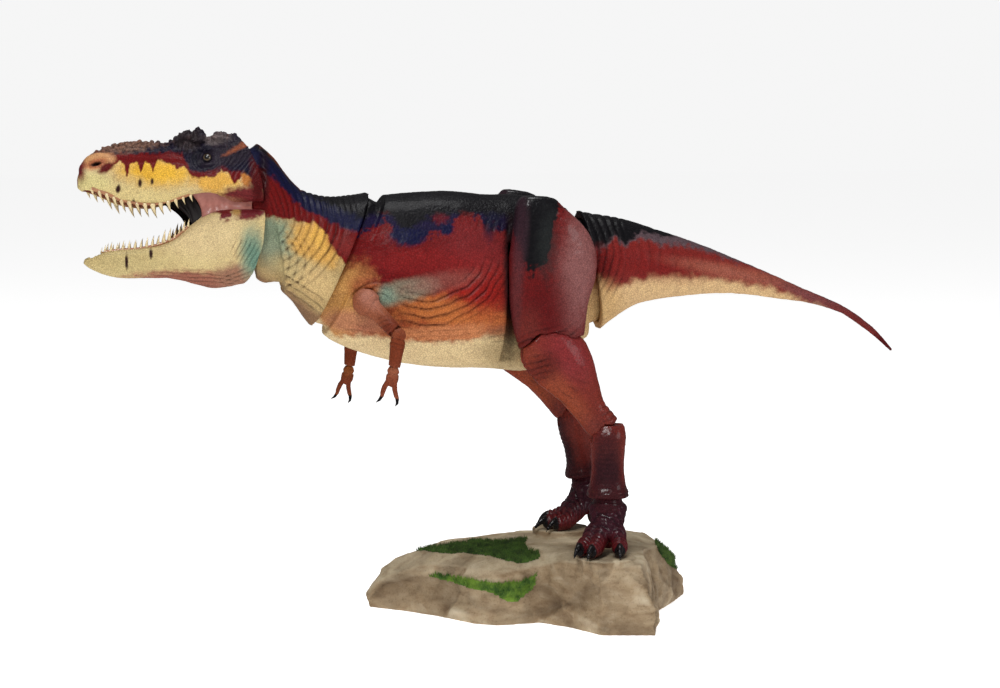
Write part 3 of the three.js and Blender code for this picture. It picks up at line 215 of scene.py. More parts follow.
@dataclass(frozen=True)
class Sight:
    """The camera, and where each point of the figure stands in its picture."""

    azimuth: float = -12.0
    elevation: float = 6.0
    distance: float = 1.5
    focal_pixels: float = 2400.0
    aim: tuple[float, float, float] = (-0.01685, 0.0, 0.17119)

    def basis(self) -> tuple[Points, Points, Points]:
        """Gives the camera's right, up and backward directions."""
        turn = math.radians(self.azimuth)
        rise = math.radians(self.elevation)
        back = np.array(
            [math.sin(turn) * math.cos(rise), -math.cos(turn) * math.cos(rise), math.sin(rise)]
        )
        right = np.cross([0, 0, 1], back)
        right /= np.linalg.norm(right)
        return right, np.cross(back, right), back

    def picture(self, points: Points) -> tuple[Points, Points]:
        """Finds points in the picture.

        Args:
            points: Points of the figure, in metres.

        Returns:
            Their columns and rows, in pixels.
        """
        right, up, back = self.basis()
        away = points - (np.array(self.aim) + back * self.distance)
        depth = -(away @ back)
        column = PICTURE_WIDTH / 2 + self.focal_pixels * (away @ right) / depth
        row = PICTURE_HEIGHT / 2 - self.focal_pixels * (away @ up) / depth
        return column, row

    def ray(self, column: float, row: float) -> tuple[Vector, Vector]:
        """Gives the camera's place and the direction of one pixel."""
        right, up, back = self.basis()
        way = -back + right * (column - PICTURE_WIDTH / 2) / self.focal_pixels
        way = way - up * (row - PICTURE_HEIGHT / 2) / self.focal_pixels
        return Vector(np.array(self.aim) + back * self.distance), Vector(way).normalized()

    def camera(self) -> None:
        """Makes the camera."""
        right, up, back = self.basis()
        data = bpy.data.cameras.new("photo_camera")
        data.sensor_width = SENSOR_WIDTH
        data.lens = SENSOR_WIDTH * self.focal_pixels / PICTURE_WIDTH
        data.clip_start = 0.05
        data.clip_end = 20
        camera = bpy.data.objects.new("photo_camera", data)
        bpy.context.scene.collection.objects.link(camera)
        place = Matrix(np.column_stack([right, up, back]).tolist()).to_4x4()
        place.translation = Vector(self.aim) + Vector(back) * self.distance
        camera.matrix_world = place
        bpy.context.scene.camera = camera


SIGHT = Sight()


class Canvas:
    """Says where a point lies for the marks and folds of one piece."""

    def spread(self, points: Points) -> tuple[Points, Points]:
        """Gives each point's two canvas coordinates."""
        raise NotImplementedError


@dataclass(frozen=True)
class PictureCanvas(Canvas):
    """Canvas of a piece that is the same on both sides of a mirror plane, in picture pixels."""

    origin: tuple[float, float, float] = (0.0, 0.0, 0.0)
    across: tuple[float, float, float] = (0.0, 1.0, 0.0)

    def spread(self, points: Points) -> tuple[Points, Points]:
        """Gives picture columns and rows, with the far side folded onto the near side."""
        side = np.array(self.across) / np.linalg.norm(self.across)
        reach = (points - np.array(self.origin)) @ side
        folded = points - np.outer(np.maximum(reach, 0) * 2, side)
        return SIGHT.picture(folded)


@dataclass(frozen=True)
class LimbCanvas(Canvas):
    """Canvas of a limb piece, in millimetres ahead of its bone and down from its joint."""

    place: Matrix

    def spread(self, points: Points) -> tuple[Points, Points]:
        """Gives the distance ahead of the bone and the distance down it."""
        local = to_local(points, self.place) / MM
        return -local[:, 0], -local[:, 2]


def to_local(points: Points, place: Matrix) -> Points:
    """Takes points into a frame."""
    inverse = np.array(place.inverted())
    return points @ inverse[:3, :3].T + inverse[:3, 3]


def to_world(points: Points, place: Matrix) -> Points:
    """Takes points out of a frame."""
    matrix = np.array(place)
    return points @ matrix[:3, :3].T + matrix[:3, 3]


class Pattern(Enum):
    """How the wrinkles of a bundle run."""

    LINES = "lines"
    RINGS = "rings"


@dataclass(frozen=True)
class Fold:
    """A bundle of wrinkles on a canvas.

    A bundle of lines has its middle at the given place and runs at the given lean. A bundle of
    rings runs round the given centre and shows within the two radii of its span.
    """

    SWAY_SIZE = 3.2
    FADE_START = 0.55
    RING_EDGE = 0.18
    WINDOW_EDGE = 9.0
    CREASE_POWER = 0.7
    CREASE_LEVEL = 0.72

    at: tuple[float, float]
    span: tuple[float, float]
    pitch: float
    depth: float
    lean: float = 0.0
    pattern: Pattern = Pattern.LINES
    window: tuple[float, float, float, float] | None = None
    warp: float = 0.35
    bow: float = 0.0
    seed: int = 1

    def height(self, across: Points, down: Points, points: Points) -> Points:
        """Works out how far the wrinkles stand out.

        Args:
            across: First canvas coordinate.
            down: Second canvas coordinate.
            points: The points, in metres.

        Returns:
            Heights in millimetres, below zero in the creases.
        """
        grain = Grain(self.seed)
        sway = grain.layered(points, self.pitch * self.SWAY_SIZE * MM, 2) * self.warp
        lean = math.radians(self.lean)
        x = across - self.at[0]
        y = down - self.at[1]
        if self.pattern is Pattern.LINES:
            along = x * math.cos(lean) - y * math.sin(lean)
            over = x * math.sin(lean) + y * math.cos(lean) + self.bow * along**2
            inside = 1 - ease(np.hypot(along / self.span[0], over / self.span[1]), self.FADE_START, 1.0)
        else:
            over = np.hypot(x, y)
            low, high = self.span
            edge = (high - low) * self.RING_EDGE
            inside = ease(over, low, low + edge) * (1 - ease(over, high - edge, high))
        if self.window is not None:
            left, top, right, bottom = self.window
            soft = self.WINDOW_EDGE
            inside = inside * ease(across, left - soft, left + soft)
            inside = inside * (1 - ease(across, right - soft, right + soft))
            inside = inside * ease(down, top - soft, top + soft)
            inside = inside * (1 - ease(down, bottom - soft, bottom + soft))
        wave = np.abs(np.sin(math.pi * (over / self.pitch + sway)))
        strength = 0.65 + 0.35 * grain.smooth(points + 0.71, self.pitch * 4 * MM)
        return (wave**self.CREASE_POWER - self.CREASE_LEVEL) * self.depth * inside * strength


@dataclass(frozen=True)
class Bump:
    """A swelling or a hollow on a canvas, in canvas units, with its height in millimetres."""

    at: tuple[float, float]
    size: tuple[float, float]
    height: float
    lean: float = 0.0
    ring: bool = False

    def lift(self, across: Points, down: Points) -> Points:
        """Gives the height of the swelling at each point."""
        reach = oval(across, down, self.at, self.size, self.lean)
        if self.ring:
            return self.height * np.exp(-(((reach - 1) * 3.2) ** 2))
        return self.height * (1 - ease(reach, 0.0, 1.0))


def oval(
    across: Points, down: Points, at: tuple[float, float], size: tuple[float, float], lean: float
) -> Points:
    """Gives the distance from a leaning oval's middle, 1 on its outline."""
    turn = math.radians(lean)
    x = across - at[0]
    y = down - at[1]
    along = x * math.cos(turn) - y * math.sin(turn)
    over = x * math.sin(turn) + y * math.cos(turn)
    return np.hypot(along / size[0], over / size[1])


@dataclass(frozen=True)
class Mark:
    """A patch of paint on a canvas, with a ragged or a soft edge."""

    at: tuple[float, float]
    size: tuple[float, float]
    colour: Colour
    lean: float = 0.0
    soft: float = 0.12
    ragged: float = 0.15
    grain: float = 4.0
    strength: float = 1.0

    def cover(self, across: Points, down: Points, points: Points, noise: Grain) -> Points:
        """Gives how much of the patch's paint lies on each point."""
        reach = oval(across, down, self.at, self.size, self.lean)
        reach = reach + self.ragged * noise.layered(points, self.grain * MM)
        return (1 - ease(reach, 1 - self.soft, 1 + self.soft)) * self.strength


@dataclass(frozen=True)
class Band:
    """Paint above or below a line over the canvas. The line is given by its points."""

    line: tuple[tuple[float, float], ...]
    colour: Colour
    above: bool = True
    soft: float = 3.0
    ragged: float = 4.0
    grain: float = 4.0
    strength: float = 1.0

    def cover(self, across: Points, down: Points, points: Points, noise: Grain) -> Points:
        """Gives how much of the band's paint lies on each point."""
        xs = [x for x, _ in self.line]
        ys = [y for _, y in self.line]
        past = np.interp(across, xs, ys) - down
        if not self.above:
            past = -past
        past = past + self.ragged * noise.layered(points, self.grain * MM)
        return ease(past, -self.soft, self.soft) * self.strength


@dataclass(frozen=True)
class Loft:
    """A smooth closed skin through the stations of one piece."""

    rows: tuple[tuple[float, ...], ...]
    length: float
    height: float
    width: float
    place: Matrix
    top_power: float = 0.86
    low_power: float = 0.86
    limb: bool = False
    sides: int = 72
    steps: int = 6

    def stations(self) -> list[Points]:
        """Gives the rows with smooth rows in between."""
        rows = np.array(self.rows, float)
        found = []
        for i in range(len(rows) - 1):
            before = rows[max(i - 1, 0)]
            here, there = rows[i], rows[i + 1]
            after = rows[min(i + 2, len(rows) - 1)]
            for step in range(self.steps):
                t = step / self.steps
                leave = (there - before) / 2
                arrive = (after - here) / 2
                square = 3 * (there - here) - 2 * leave - arrive
                cube = 2 * (here - there) + leave + arrive
                found.append(here + leave * t + square * t**2 + cube * t**3)
        found.append(rows[-1])
        return found

    def rings(self) -> Points:
        """Gives the rings of points, in metres, in the row frame."""
        angles = 2 * math.pi * (np.arange(self.sides) + 0.5) / self.sides
        up = np.cos(angles)
        out = np.sin(angles)
        rings = []
        for row in self.stations():
            if self.limb:
                down, front, rear, half = row
                power = self.top_power
                ahead, behind = self.height * front, self.height * rear
                x = (behind - ahead) / 2 + np.sign(up) * np.abs(up) ** power * (ahead + behind) / 2
                y = np.sign(out) * np.abs(out) ** power * half * self.width
                z = np.full_like(x, -self.length * down)
            else:
                top_ahead, top_up, low_ahead, low_up, half, pinch = row
                power = np.where(up > 0, self.top_power, self.low_power)
                rise = np.sign(up) * np.abs(up) ** power
                side = np.sign(out) * np.abs(out) ** power * (1 - pinch * rise)
                x = -self.length * ((top_ahead + low_ahead) / 2 + rise * (top_ahead - low_ahead) / 2)
                z = self.height * ((top_up + low_up) / 2 + rise * (top_up - low_up) / 2)
                y = side * half * self.width
            rings.append(np.column_stack([x, y, z]) * MM)
        return np.array([to_world(ring, self.place) for ring in rings])

    def tree(self) -> BVHTree:
        """Gives the skin as a tree for nearest points."""
        rings = self.rings()
        faces = ring_faces(*rings.shape[:2])
        return BVHTree.FromPolygons([Vector(p) for p in rings.reshape(-1, 3)], faces)


def ring_faces(count: int, sides: int) -> list[tuple[int, ...]]:
    """Gives the faces between rings of points that follow each other."""
    pairs = [(r * sides + i, r * sides + (i + 1) % sides) for r in range(count - 1) for i in range(sides)]
    return [(a, b, b + sides, a + sides) for a, b in pairs]


class Value:
    """A shader socket that takes part in Python sums."""

    def __init__(self, finish: "Finish", socket: bpy.types.NodeSocket) -> None:
        """Wraps a socket of a finish's tree."""
        self.finish = finish
        self.socket = socket

    def _math(self, operation: str, *others: "Value | float") -> "Value":
        """Adds one Math node on this value."""
        return self.finish.node("ShaderNodeMath", {"operation": operation}, [self, *others])

    def __add__(self, other: "Value | float") -> "Value":
        """Adds."""
        return self._math("ADD", other)

    __radd__ = __add__

    def __sub__(self, other: "Value | float") -> "Value":
        """Takes away."""
        return self._math("SUBTRACT", other)

    def __rsub__(self, other: float) -> "Value":
        """Is taken away from a number."""
        return self.finish.node("ShaderNodeMath", {"operation": "SUBTRACT"}, [other, self])

    def __mul__(self, other: "Value | float") -> "Value":
        """Multiplies."""
        return self._math("MULTIPLY", other)

    __rmul__ = __mul__

    def clamp(self, low: float, high: float) -> "Value":
        """Keeps the value between two numbers."""
        return self._math("MAXIMUM", low)._math("MINIMUM", high)

    def power(self, exponent: float) -> "Value":
        """Raises the value to a power."""
        return self._math("POWER", exponent)


class Finish:
    """A material with its node tree."""

    def __init__(self, name: str) -> None:
        """Makes an empty material with one shader.

        Args:
            name: The finish's name.
        """
        self.material = bpy.data.materials.new(name)
        self.material.use_nodes = True
        self.tree = self.material.node_tree
        self.tree.nodes.clear()
        self.output = self.tree.nodes.new("ShaderNodeOutputMaterial")
        self.shader = self.tree.nodes.new("ShaderNodeBsdfPrincipled")
        self.tree.links.new(self.shader.outputs[0], self.output.inputs[0])

    def node(
        self,
        kind: str,
        settings: dict[str, object] | None = None,
        inputs: list[object] | dict[str, object] | None = None,
        output: int | str = 0,
    ) -> Value:
        """Adds any node.

        Args:
            kind: The node's type.
            settings: Its settings, which are set first.
            inputs: Values or links of its sockets, in order or by name.
            output: The output that is wanted.

        Returns:
            That output.
        """
        made = self.tree.nodes.new(kind)
        for key, value in (settings or {}).items():
            if key == "stops":
                self._stops(made, value)
            else:
                setattr(made, key, value)
        pairs = inputs.items() if isinstance(inputs, dict) else enumerate(inputs or [])
        for key, value in pairs:
            self.feed(made.inputs[key], value)
        return Value(self, made.outputs[output])

    @staticmethod
    def _stops(ramp: bpy.types.Node, stops: list[tuple[float, Colour]]) -> None:
        """Sets the stops of a colour ramp."""
        elements = ramp.color_ramp.elements
        while len(elements) < len(stops):
            elements.new(0.5)
        for element, (place, colour) in zip(elements, stops):
            element.position = place
            element.color = (*colour, 1)

    def feed(self, socket: bpy.types.NodeSocket, value: object) -> None:
        """Sets a socket, or links it."""
        if isinstance(value, Value):
            self.tree.links.new(value.socket, socket)
        elif isinstance(value, tuple) and socket.type == "RGBA":
            socket.default_value = (*value[:3], 1)
        else:
            socket.default_value = value

    def set(self, **sockets: object) -> None:
        """Sets the shader's own sockets, with _ for a space in a name."""
        for name, value in sockets.items():
            self.feed(self.shader.inputs[name.replace("_", " ")], value)

    def place(self) -> Value:
        """Gives the object's own coordinates."""
        return self.node("ShaderNodeTexCoord", output="Object")

    def attribute(self, name: str, output: str = "Color") -> Value:
        """Gives an attribute of the mesh."""
        return self.node("ShaderNodeAttribute", {"attribute_name": name}, output=output)

    def noise(self, size: float, detail: float = 3.0, place: Value | None = None) -> Value:
        """Gives noise with lumps of a size in metres."""
        return self.node(
            "ShaderNodeTexNoise",
            None,
            {"Vector": place or self.place(), "Scale": 1 / size, "Detail": detail},
        )

    def scales(self, size: float, place: Value | None = None, feature: str = "F1") -> Value:
        """Gives the distance pattern of scales of a size in metres."""
        return self.node(
            "ShaderNodeTexVoronoi",
            {"feature": feature},
            {"Vector": place or self.place(), "Scale": 1 / size},
        )

    def mix(self, share: Value | float, first: object, second: object, kind: str = "MIX") -> Value:
        """Mixes two colours.

        Args:
            share: How much of the second colour.
            first: The first colour.
            second: The second colour.
            kind: The way of mixing.

        Returns:
            The mixed colour.
        """
        made = self.tree.nodes.new("ShaderNodeMix")
        made.data_type = "RGBA"
        made.blend_type = kind
        self.feed(made.inputs[0], share)
        self.feed(made.inputs[6], first)
        self.feed(made.inputs[7], second)
        return Value(self, made.outputs[2])

    def bump(self, height: Value, distance: float, strength: float, under: Value | None = None) -> Value:
        """Turns a height into a normal."""
        inputs: dict[str, object] = {"Strength": strength, "Distance": distance, "Height": height}
        if under is not None:
            inputs["Normal"] = under
        return self.node("ShaderNodeBump", None, inputs)


@dataclass(frozen=True)
class HideFinish:
    """Painted vinyl hide: layered paint, pebbled scales, a dark wash in the creases."""

    name: str
    scale: float = 1.35
    relief: float = 0.36
    roughness: float = 0.34
    sheen: float = 0.05
    wash: float = 0.45

    def make(self) -> bpy.types.Material:
        """Makes the material."""
        finish = Finish(self.name)
        place = finish.place()
        pebble = finish.scales(self.scale * MM, place)
        fine = finish.scales(self.scale * 0.42 * MM, place)
        rim = finish.scales(self.scale * MM, place, "DISTANCE_TO_EDGE")
        own = finish.noise(self.scale * 1.3 * MM, 1, place)
        lumps = finish.noise(8 * MM, 4, place)
        specks = finish.noise(0.7 * MM, 2, place)
        coat = finish.attribute("coat")
        crease = finish.attribute("crease", "Fac")
        shine = finish.attribute("shine", "Fac")
        gap = (1 - (rim * 6.0).clamp(0, 1)) * (1 - shine)
        toned = finish.mix(((own - 0.42) * 2.4).clamp(0, 1) * 0.22, coat, (0.30, 0.22, 0.20), "MULTIPLY")
        lifted = finish.mix((0.47 - own).clamp(0, 0.2) * 1.0, toned, (1.0, 0.80, 0.66), "SOFT_LIGHT")
        mottled = finish.mix((lumps - 0.35).clamp(0, 1) * 0.6, lifted, (0.55, 0.42, 0.40), "MULTIPLY")
        gapped = finish.mix(gap * self.wash, mottled, (0.10, 0.05, 0.05), "MULTIPLY")
        washed = finish.mix(crease.clamp(0, 1) * 0.92, gapped, (0.10, 0.04, 0.04), "MULTIPLY")
        ridged = finish.mix((crease * -0.5).clamp(0, 0.4), washed, (0.92, 0.70, 0.56), "SOFT_LIGHT")
        finish.set(Base_Color=ridged)
        rough = self.roughness + lumps * 0.12 + gap * 0.2 - shine * 0.26
        finish.set(Roughness=rough.clamp(0.1, 0.9))
        first = finish.bump((1 - pebble) * (1 - shine), self.relief * MM, 0.9)
        second = finish.bump((1 - fine) * (1 - shine), self.relief * 0.3 * MM, 0.5, first)
        finish.set(Normal=finish.bump(specks, 0.04 * MM, 0.3, second))
        finish.set(Coat_Weight=self.sheen, Coat_Roughness=0.2, Specular_IOR_Level=0.08)
        return finish.material


@dataclass(frozen=True)
class GlossFinish:
    """Glossy paint over a moulded piece, with fine streaks."""

    name: str
    base: Colour
    shade: Colour
    streak: float = 1.2
    roughness: float = 0.2
    coat: float = 0.5

    def make(self) -> bpy.types.Material:
        """Makes the material."""
        finish = Finish(self.name)
        place = finish.place()
        cloud = finish.noise(self.streak * 3 * MM, 3, place)
        streaks = finish.noise(self.streak * MM, 4, place)
        tone = finish.mix((cloud - 0.3).clamp(0, 1), self.base, self.shade)
        tone = finish.mix((streaks - 0.45).clamp(0, 1) * 0.9, tone, self.shade)
        finish.set(Base_Color=tone, Roughness=(self.roughness + streaks * 0.2).clamp(0.05, 0.9))
        finish.set(Normal=finish.bump(streaks, 0.12 * MM, 0.35))
        finish.set(Coat_Weight=self.coat, Coat_Roughness=0.12)
        return finish.material


@dataclass(frozen=True)
class SteelFinish:
    """Drawn steel of the pins."""

    name: str = "pin_steel_drawn"

    def make(self) -> bpy.types.Material:
        """Makes the material."""
        finish = Finish(self.name)
        lines = finish.noise(0.5 * MM, 5)
        finish.set(Metallic=1.0, Roughness=(0.22 + lines * 0.2).clamp(0.1, 0.8))
        finish.set(Base_Color=finish.mix(lines, (0.55, 0.56, 0.58), (0.36, 0.36, 0.38)))
        finish.set(Normal=finish.bump(lines, 0.03 * MM, 0.3))
        return finish.material


@dataclass(frozen=True)
class StoneFinish:
    """Cast sandstone with brown washes and pale dry-brushed edges."""

    name: str = "rock_sandstone"

    def make(self) -> bpy.types.Material:
        """Makes the material."""
        finish = Finish(self.name)
        place = finish.place()
        broad = finish.noise(30 * MM, 5, place)
        stretched = finish.node(
            "ShaderNodeMapping", None, {"Vector": place, "Scale": (1.0, 1.0, 2.2)}
        )
        seams = finish.noise(9 * MM, 7, stretched)
        grit = finish.noise(1.1 * MM, 5, place)
        pores = finish.scales(2.4 * MM, place)
        crease = finish.attribute("crease", "Fac")
        coat = finish.attribute("coat")
        cloudy = finish.mix((broad - 0.42).clamp(0, 1) * 1.5, coat, paint(176, 160, 136), "MULTIPLY")
        brown = finish.mix(
            ((seams - 0.5) * 3.4).clamp(0, 1) * 0.7, cloudy, paint(176, 146, 112), "MULTIPLY"
        )
        pale = finish.mix(((0.46 - seams) * 3.0).clamp(0, 1) * 0.30, brown, paint(226, 214, 188))
        washed = finish.mix(crease.clamp(0, 1) * 0.8, pale, paint(120, 96, 72), "MULTIPLY")
        brushed = finish.mix((crease * -1.0).clamp(0, 0.55), washed, paint(224, 212, 186))
        gritty = finish.mix(
            ((grit - 0.54) * 3.0).clamp(0, 1) * 0.55, brushed, paint(120, 100, 78), "MULTIPLY"
        )
        finish.set(Base_Color=gritty)
        finish.set(Roughness=(0.68 + grit * 0.25).clamp(0.5, 1.0))
        first = finish.bump(seams, 1.1 * MM, 0.6)
        second = finish.bump(grit, 0.55 * MM, 0.8, first)
        finish.set(Normal=finish.bump(pores, 0.3 * MM, 0.35, second))
        return finish.material


@dataclass(frozen=True)
class MossFinish:
    """Short green flock in darker and paler tufts, flecked with a third green."""

    name: str
    light: Colour
    dark: Colour
    tip: Colour = (0.24, 0.32, 0.05)

    def make(self) -> bpy.types.Material:
        """Makes the material."""
        finish = Finish(self.name)
        place = finish.place()
        tufts = finish.noise(6 * MM, 4, place)
        strands = finish.noise(0.7 * MM, 2, place)
        tone = finish.mix(((tufts - 0.35) * 3.0).clamp(0, 1), self.dark, self.light)
        tone = finish.mix(((strands - 0.5) * 3.0).clamp(0, 1) * 0.55, tone, self.tip)
        finish.set(Base_Color=tone, Roughness=(0.7 + strands * 0.2).clamp(0.6, 1.0))
        finish.set(Normal=finish.bump(strands, 0.2 * MM, 0.4))
        return finish.material


@dataclass(frozen=True)
class EyeFinish:
    """Glass-like eye with a ringed iris and a dark pupil round the piece's own axis."""

    name: str
    centre: tuple[float, float, float]
    axis: tuple[float, float, float]
    radius: float

    def make(self) -> bpy.types.Material:
        """Makes the material."""
        finish = Finish(self.name)
        away = finish.node(
            "ShaderNodeVectorMath", {"operation": "SUBTRACT"}, [finish.place(), self.centre]
        )
        facing = finish.node(
            "ShaderNodeVectorMath", {"operation": "DOT_PRODUCT"}, [away, self.axis], "Value"
        )
        share = facing * (1 / self.radius)
        flecks = finish.noise(0.35 * MM, 3)
        tone = finish.node(
            "ShaderNodeValToRGB",
            {
                "stops": [
                    (0.55, paint(10, 10, 12)),
                    (0.72, paint(44, 38, 34)),
                    (0.86, paint(92, 74, 50)),
                    (0.94, paint(6, 6, 8)),
                ]
            },
            [share + (flecks - 0.5) * 0.08],
        )
        finish.set(Base_Color=tone, Roughness=(0.06 + flecks * 0.04).clamp(0.02, 0.2))
        finish.set(Coat_Weight=1.0, Coat_Roughness=0.03)
        return finish.material


class Recipe:
    """A Geometry Nodes tree with named inputs, which takes one mesh and gives one mesh."""

    def __init__(self, name: str, **inputs: float) -> None:
        """Makes the tree with its inputs.

        Args:
            name: The tree's name.
            inputs: Each input's name and value. A whole number makes a whole input.
        """
        self.tree = bpy.data.node_groups.new(name, "GeometryNodeTree")
        face = self.tree.interface
        face.new_socket("Geometry", in_out="INPUT", socket_type="NodeSocketGeometry")
        face.new_socket("Geometry", in_out="OUTPUT", socket_type="NodeSocketGeometry")
        self.values = inputs
        self.keys = {}
        for label, value in inputs.items():
            kind = "NodeSocketInt" if isinstance(value, int) else "NodeSocketFloat"
            self.keys[label] = face.new_socket(label, in_out="INPUT", socket_type=kind).identifier
        self.given = self.tree.nodes.new("NodeGroupInput")
        self.result = self.tree.nodes.new("NodeGroupOutput")

    def value(self, label: str = "Geometry") -> bpy.types.NodeSocket:
        """Gives one of the tree's inputs."""
        return self.given.outputs[label]

    def node(
        self,
        kind: str,
        settings: dict[str, object] | None = None,
        inputs: dict[object, object] | None = None,
        output: int | str = 0,
    ) -> bpy.types.NodeSocket:
        """Adds any node.

        Args:
            kind: The node's type.
            settings: Its settings, which are set first.
            inputs: Values or links of its sockets, by name or number.
            output: The output that is wanted.

        Returns:
            That output.
        """
        made = self.tree.nodes.new(kind)
        for key, value in (settings or {}).items():
            setattr(made, key, value)
        for key, value in (inputs or {}).items():
            for each in value if isinstance(value, list) else [value]:
                if isinstance(each, bpy.types.NodeSocket):
                    self.tree.links.new(each, made.inputs[key])
                else:
                    made.inputs[key].default_value = each
        return made.outputs[output]

    def sum(self, operation: str, *terms: object) -> bpy.types.NodeSocket:
        """Adds one Math node."""
        return self.node("ShaderNodeMath", {"operation": operation}, dict(enumerate(terms)))

    def chance(self, low: float, high: float, salt: int = 0) -> bpy.types.NodeSocket:
        """Gives a repeatable random number for each instance."""
        seed = self.sum("ADD", self.value("seed"), float(salt))
        return self.node("FunctionNodeRandomValue", {"data_type": "FLOAT"}, {2: low, 3: high, 8: seed}, 1)

    def spike(
        self, sides: int, steps: int, radius: object, depth: object, bend: object
    ) -> bpy.types.NodeSocket:
        """Gives a cone that bends over towards +X."""
        cone = self.node(
            "GeometryNodeMeshCone",
            None,
            {
                "Vertices": sides, "Side Segments": steps, "Radius Top": 0.0, "Radius Bottom": radius,
                "Depth": depth,
            },
        )
        height = self.node("ShaderNodeSeparateXYZ", None, {0: self.node("GeometryNodeInputPosition")}, 2)
        share = self.sum("DIVIDE", height, depth)
        over = self.sum("MULTIPLY", self.sum("POWER", share, 1.8), bend)
        offset = self.node("ShaderNodeCombineXYZ", None, {0: over})
        return self.node("GeometryNodeSetPosition", None, {"Geometry": cone, "Offset": offset})

    def scatter(self, spots: object, instance: object, turn: object, size: object) -> bpy.types.NodeSocket:
        """Puts an instance on each point and makes real meshes of them."""
        placed = self.node(
            "GeometryNodeInstanceOnPoints",
            None,
            {"Points": spots, "Instance": instance, "Rotation": turn, "Scale": size},
        )
        return self.node("GeometryNodeRealizeInstances", None, {"Geometry": placed})

    def painted(self, geometry: object, material: bpy.types.Material) -> bpy.types.NodeSocket:
        """Gives geometry its material."""
        return self.node("GeometryNodeSetMaterial", None, {"Geometry": geometry, "Material": material})

    def joined(self, *parts: object) -> bpy.types.NodeSocket:
        """Joins geometry."""
        return self.node("GeometryNodeJoinGeometry", None, {"Geometry": list(parts)})

    def apply(self, piece: bpy.types.Object, geometry: bpy.types.NodeSocket) -> bpy.types.Object:
        """Ends the tree, runs it on a piece and leaves a plain mesh.

        Args:
            piece: The piece with the mesh that goes in.
            geometry: What the tree gives.

        Returns:
            The piece with its new mesh.
        """
        self.tree.links.new(geometry, self.result.inputs[0])
        step = piece.modifiers.new(self.tree.name, "NODES")
        step.node_group = self.tree
        for label, key in self.keys.items():
            step[key] = self.values[label]
        return settled(piece)


def link(name: str, mesh: bpy.types.Mesh) -> bpy.types.Object:
    """Puts a mesh into the scene as an object at the origin."""
    piece = bpy.data.objects.new(name, mesh)
    bpy.context.scene.collection.objects.link(piece)
    return piece


def mesh_from(name: str, points: Points, faces: list[tuple[int, ...]]) -> bpy.types.Mesh:
    """Makes a mesh of points and faces."""
    mesh = bpy.data.meshes.new(name)
    mesh.from_pydata([tuple(p) for p in points], [], faces)
    mesh.update()
    return mesh


def settled(piece: bpy.types.Object) -> bpy.types.Object:
    """Applies a piece's modifiers.

    Args:
        piece: The piece.

    Returns:
        The same piece with a plain mesh and no modifiers.
    """
    graph = bpy.context.evaluated_depsgraph_get()
    mesh = bpy.data.meshes.new_from_object(piece.evaluated_get(graph), depsgraph=graph)
    piece.modifiers.clear()
    piece.data = mesh
    return piece


def corners(mesh: bpy.types.Mesh) -> Points:
    """Gives the mesh's points as an array."""
    found = np.empty(len(mesh.vertices) * 3)
    mesh.vertices.foreach_get("co", found)
    return found.reshape(-1, 3)


def facings(mesh: bpy.types.Mesh) -> Points:
    """Gives the mesh's normals at its points."""
    found = np.empty(len(mesh.vertices) * 3)
    mesh.vertices.foreach_get("normal", found)
    return found.reshape(-1, 3)


def put_corners(mesh: bpy.types.Mesh, points: Points) -> None:
    """Moves the mesh's points."""
    mesh.vertices.foreach_set("co", points.ravel())
    mesh.update()


def smooth(mesh: bpy.types.Mesh) -> None:
    """Shades every face smoothly."""
    mesh.polygons.foreach_set("use_smooth", np.ones(len(mesh.polygons), bool))


def put_attribute(mesh: bpy.types.Mesh, name: str, values: Points) -> None:
    """Writes a colour or a number at each point."""
    if values.ndim == 2:
        layer = mesh.attributes.new(name, "FLOAT_COLOR", "POINT")
        layer.data.foreach_set("color", np.column_stack([values, np.ones(len(values))]).ravel())
    else:
        layer = mesh.attributes.new(name, "FLOAT", "POINT")
        layer.data.foreach_set("value", values.astype(np.float32))


def remeshed(
    nodes: tuple[str, ...], name: str, voxel: float, polish: int, fillers: tuple[bpy.types.Mesh, ...] = ()
) -> bpy.types.Object:
    """Copies the solids of nodes of one body into an even, smoothed mesh.

    Args:
        nodes: The nodes.
        name: The new piece's name.
        voxel: The mesh's width in millimetres.
        polish: How often it is smoothed.
        fillers: More closed meshes that close seams.

    Returns:
        The new piece.
    """
    gathered = bmesh.new()
    for mesh in [FRAME["nodes"][node].data for node in nodes] + list(fillers):
        gathered.from_mesh(mesh)
    source = bpy.data.meshes.new(name)
    gathered.to_mesh(source)
    gathered.free()
    source.materials.clear()
    piece = link(name, source)
    weld = piece.modifiers.new("weld", "WELD")
    weld.merge_threshold = WELD_DISTANCE
    even = piece.modifiers.new("even", "REMESH")
    even.mode = "VOXEL"
    even.voxel_size = voxel * MM
    even.adaptivity = 0.0
    even.use_smooth_shade = True
    soften = piece.modifiers.new("soften", "SMOOTH")
    soften.factor = 0.5
    soften.iterations = polish
    return settled(piece)


NEAR_GAIN = 2.2
LEAST_AGREEMENT = 0.25
AGREEMENT_GAIN = 2.5
SHIFT_ROUNDS = 4
WEIGHT_ROUNDS = 3


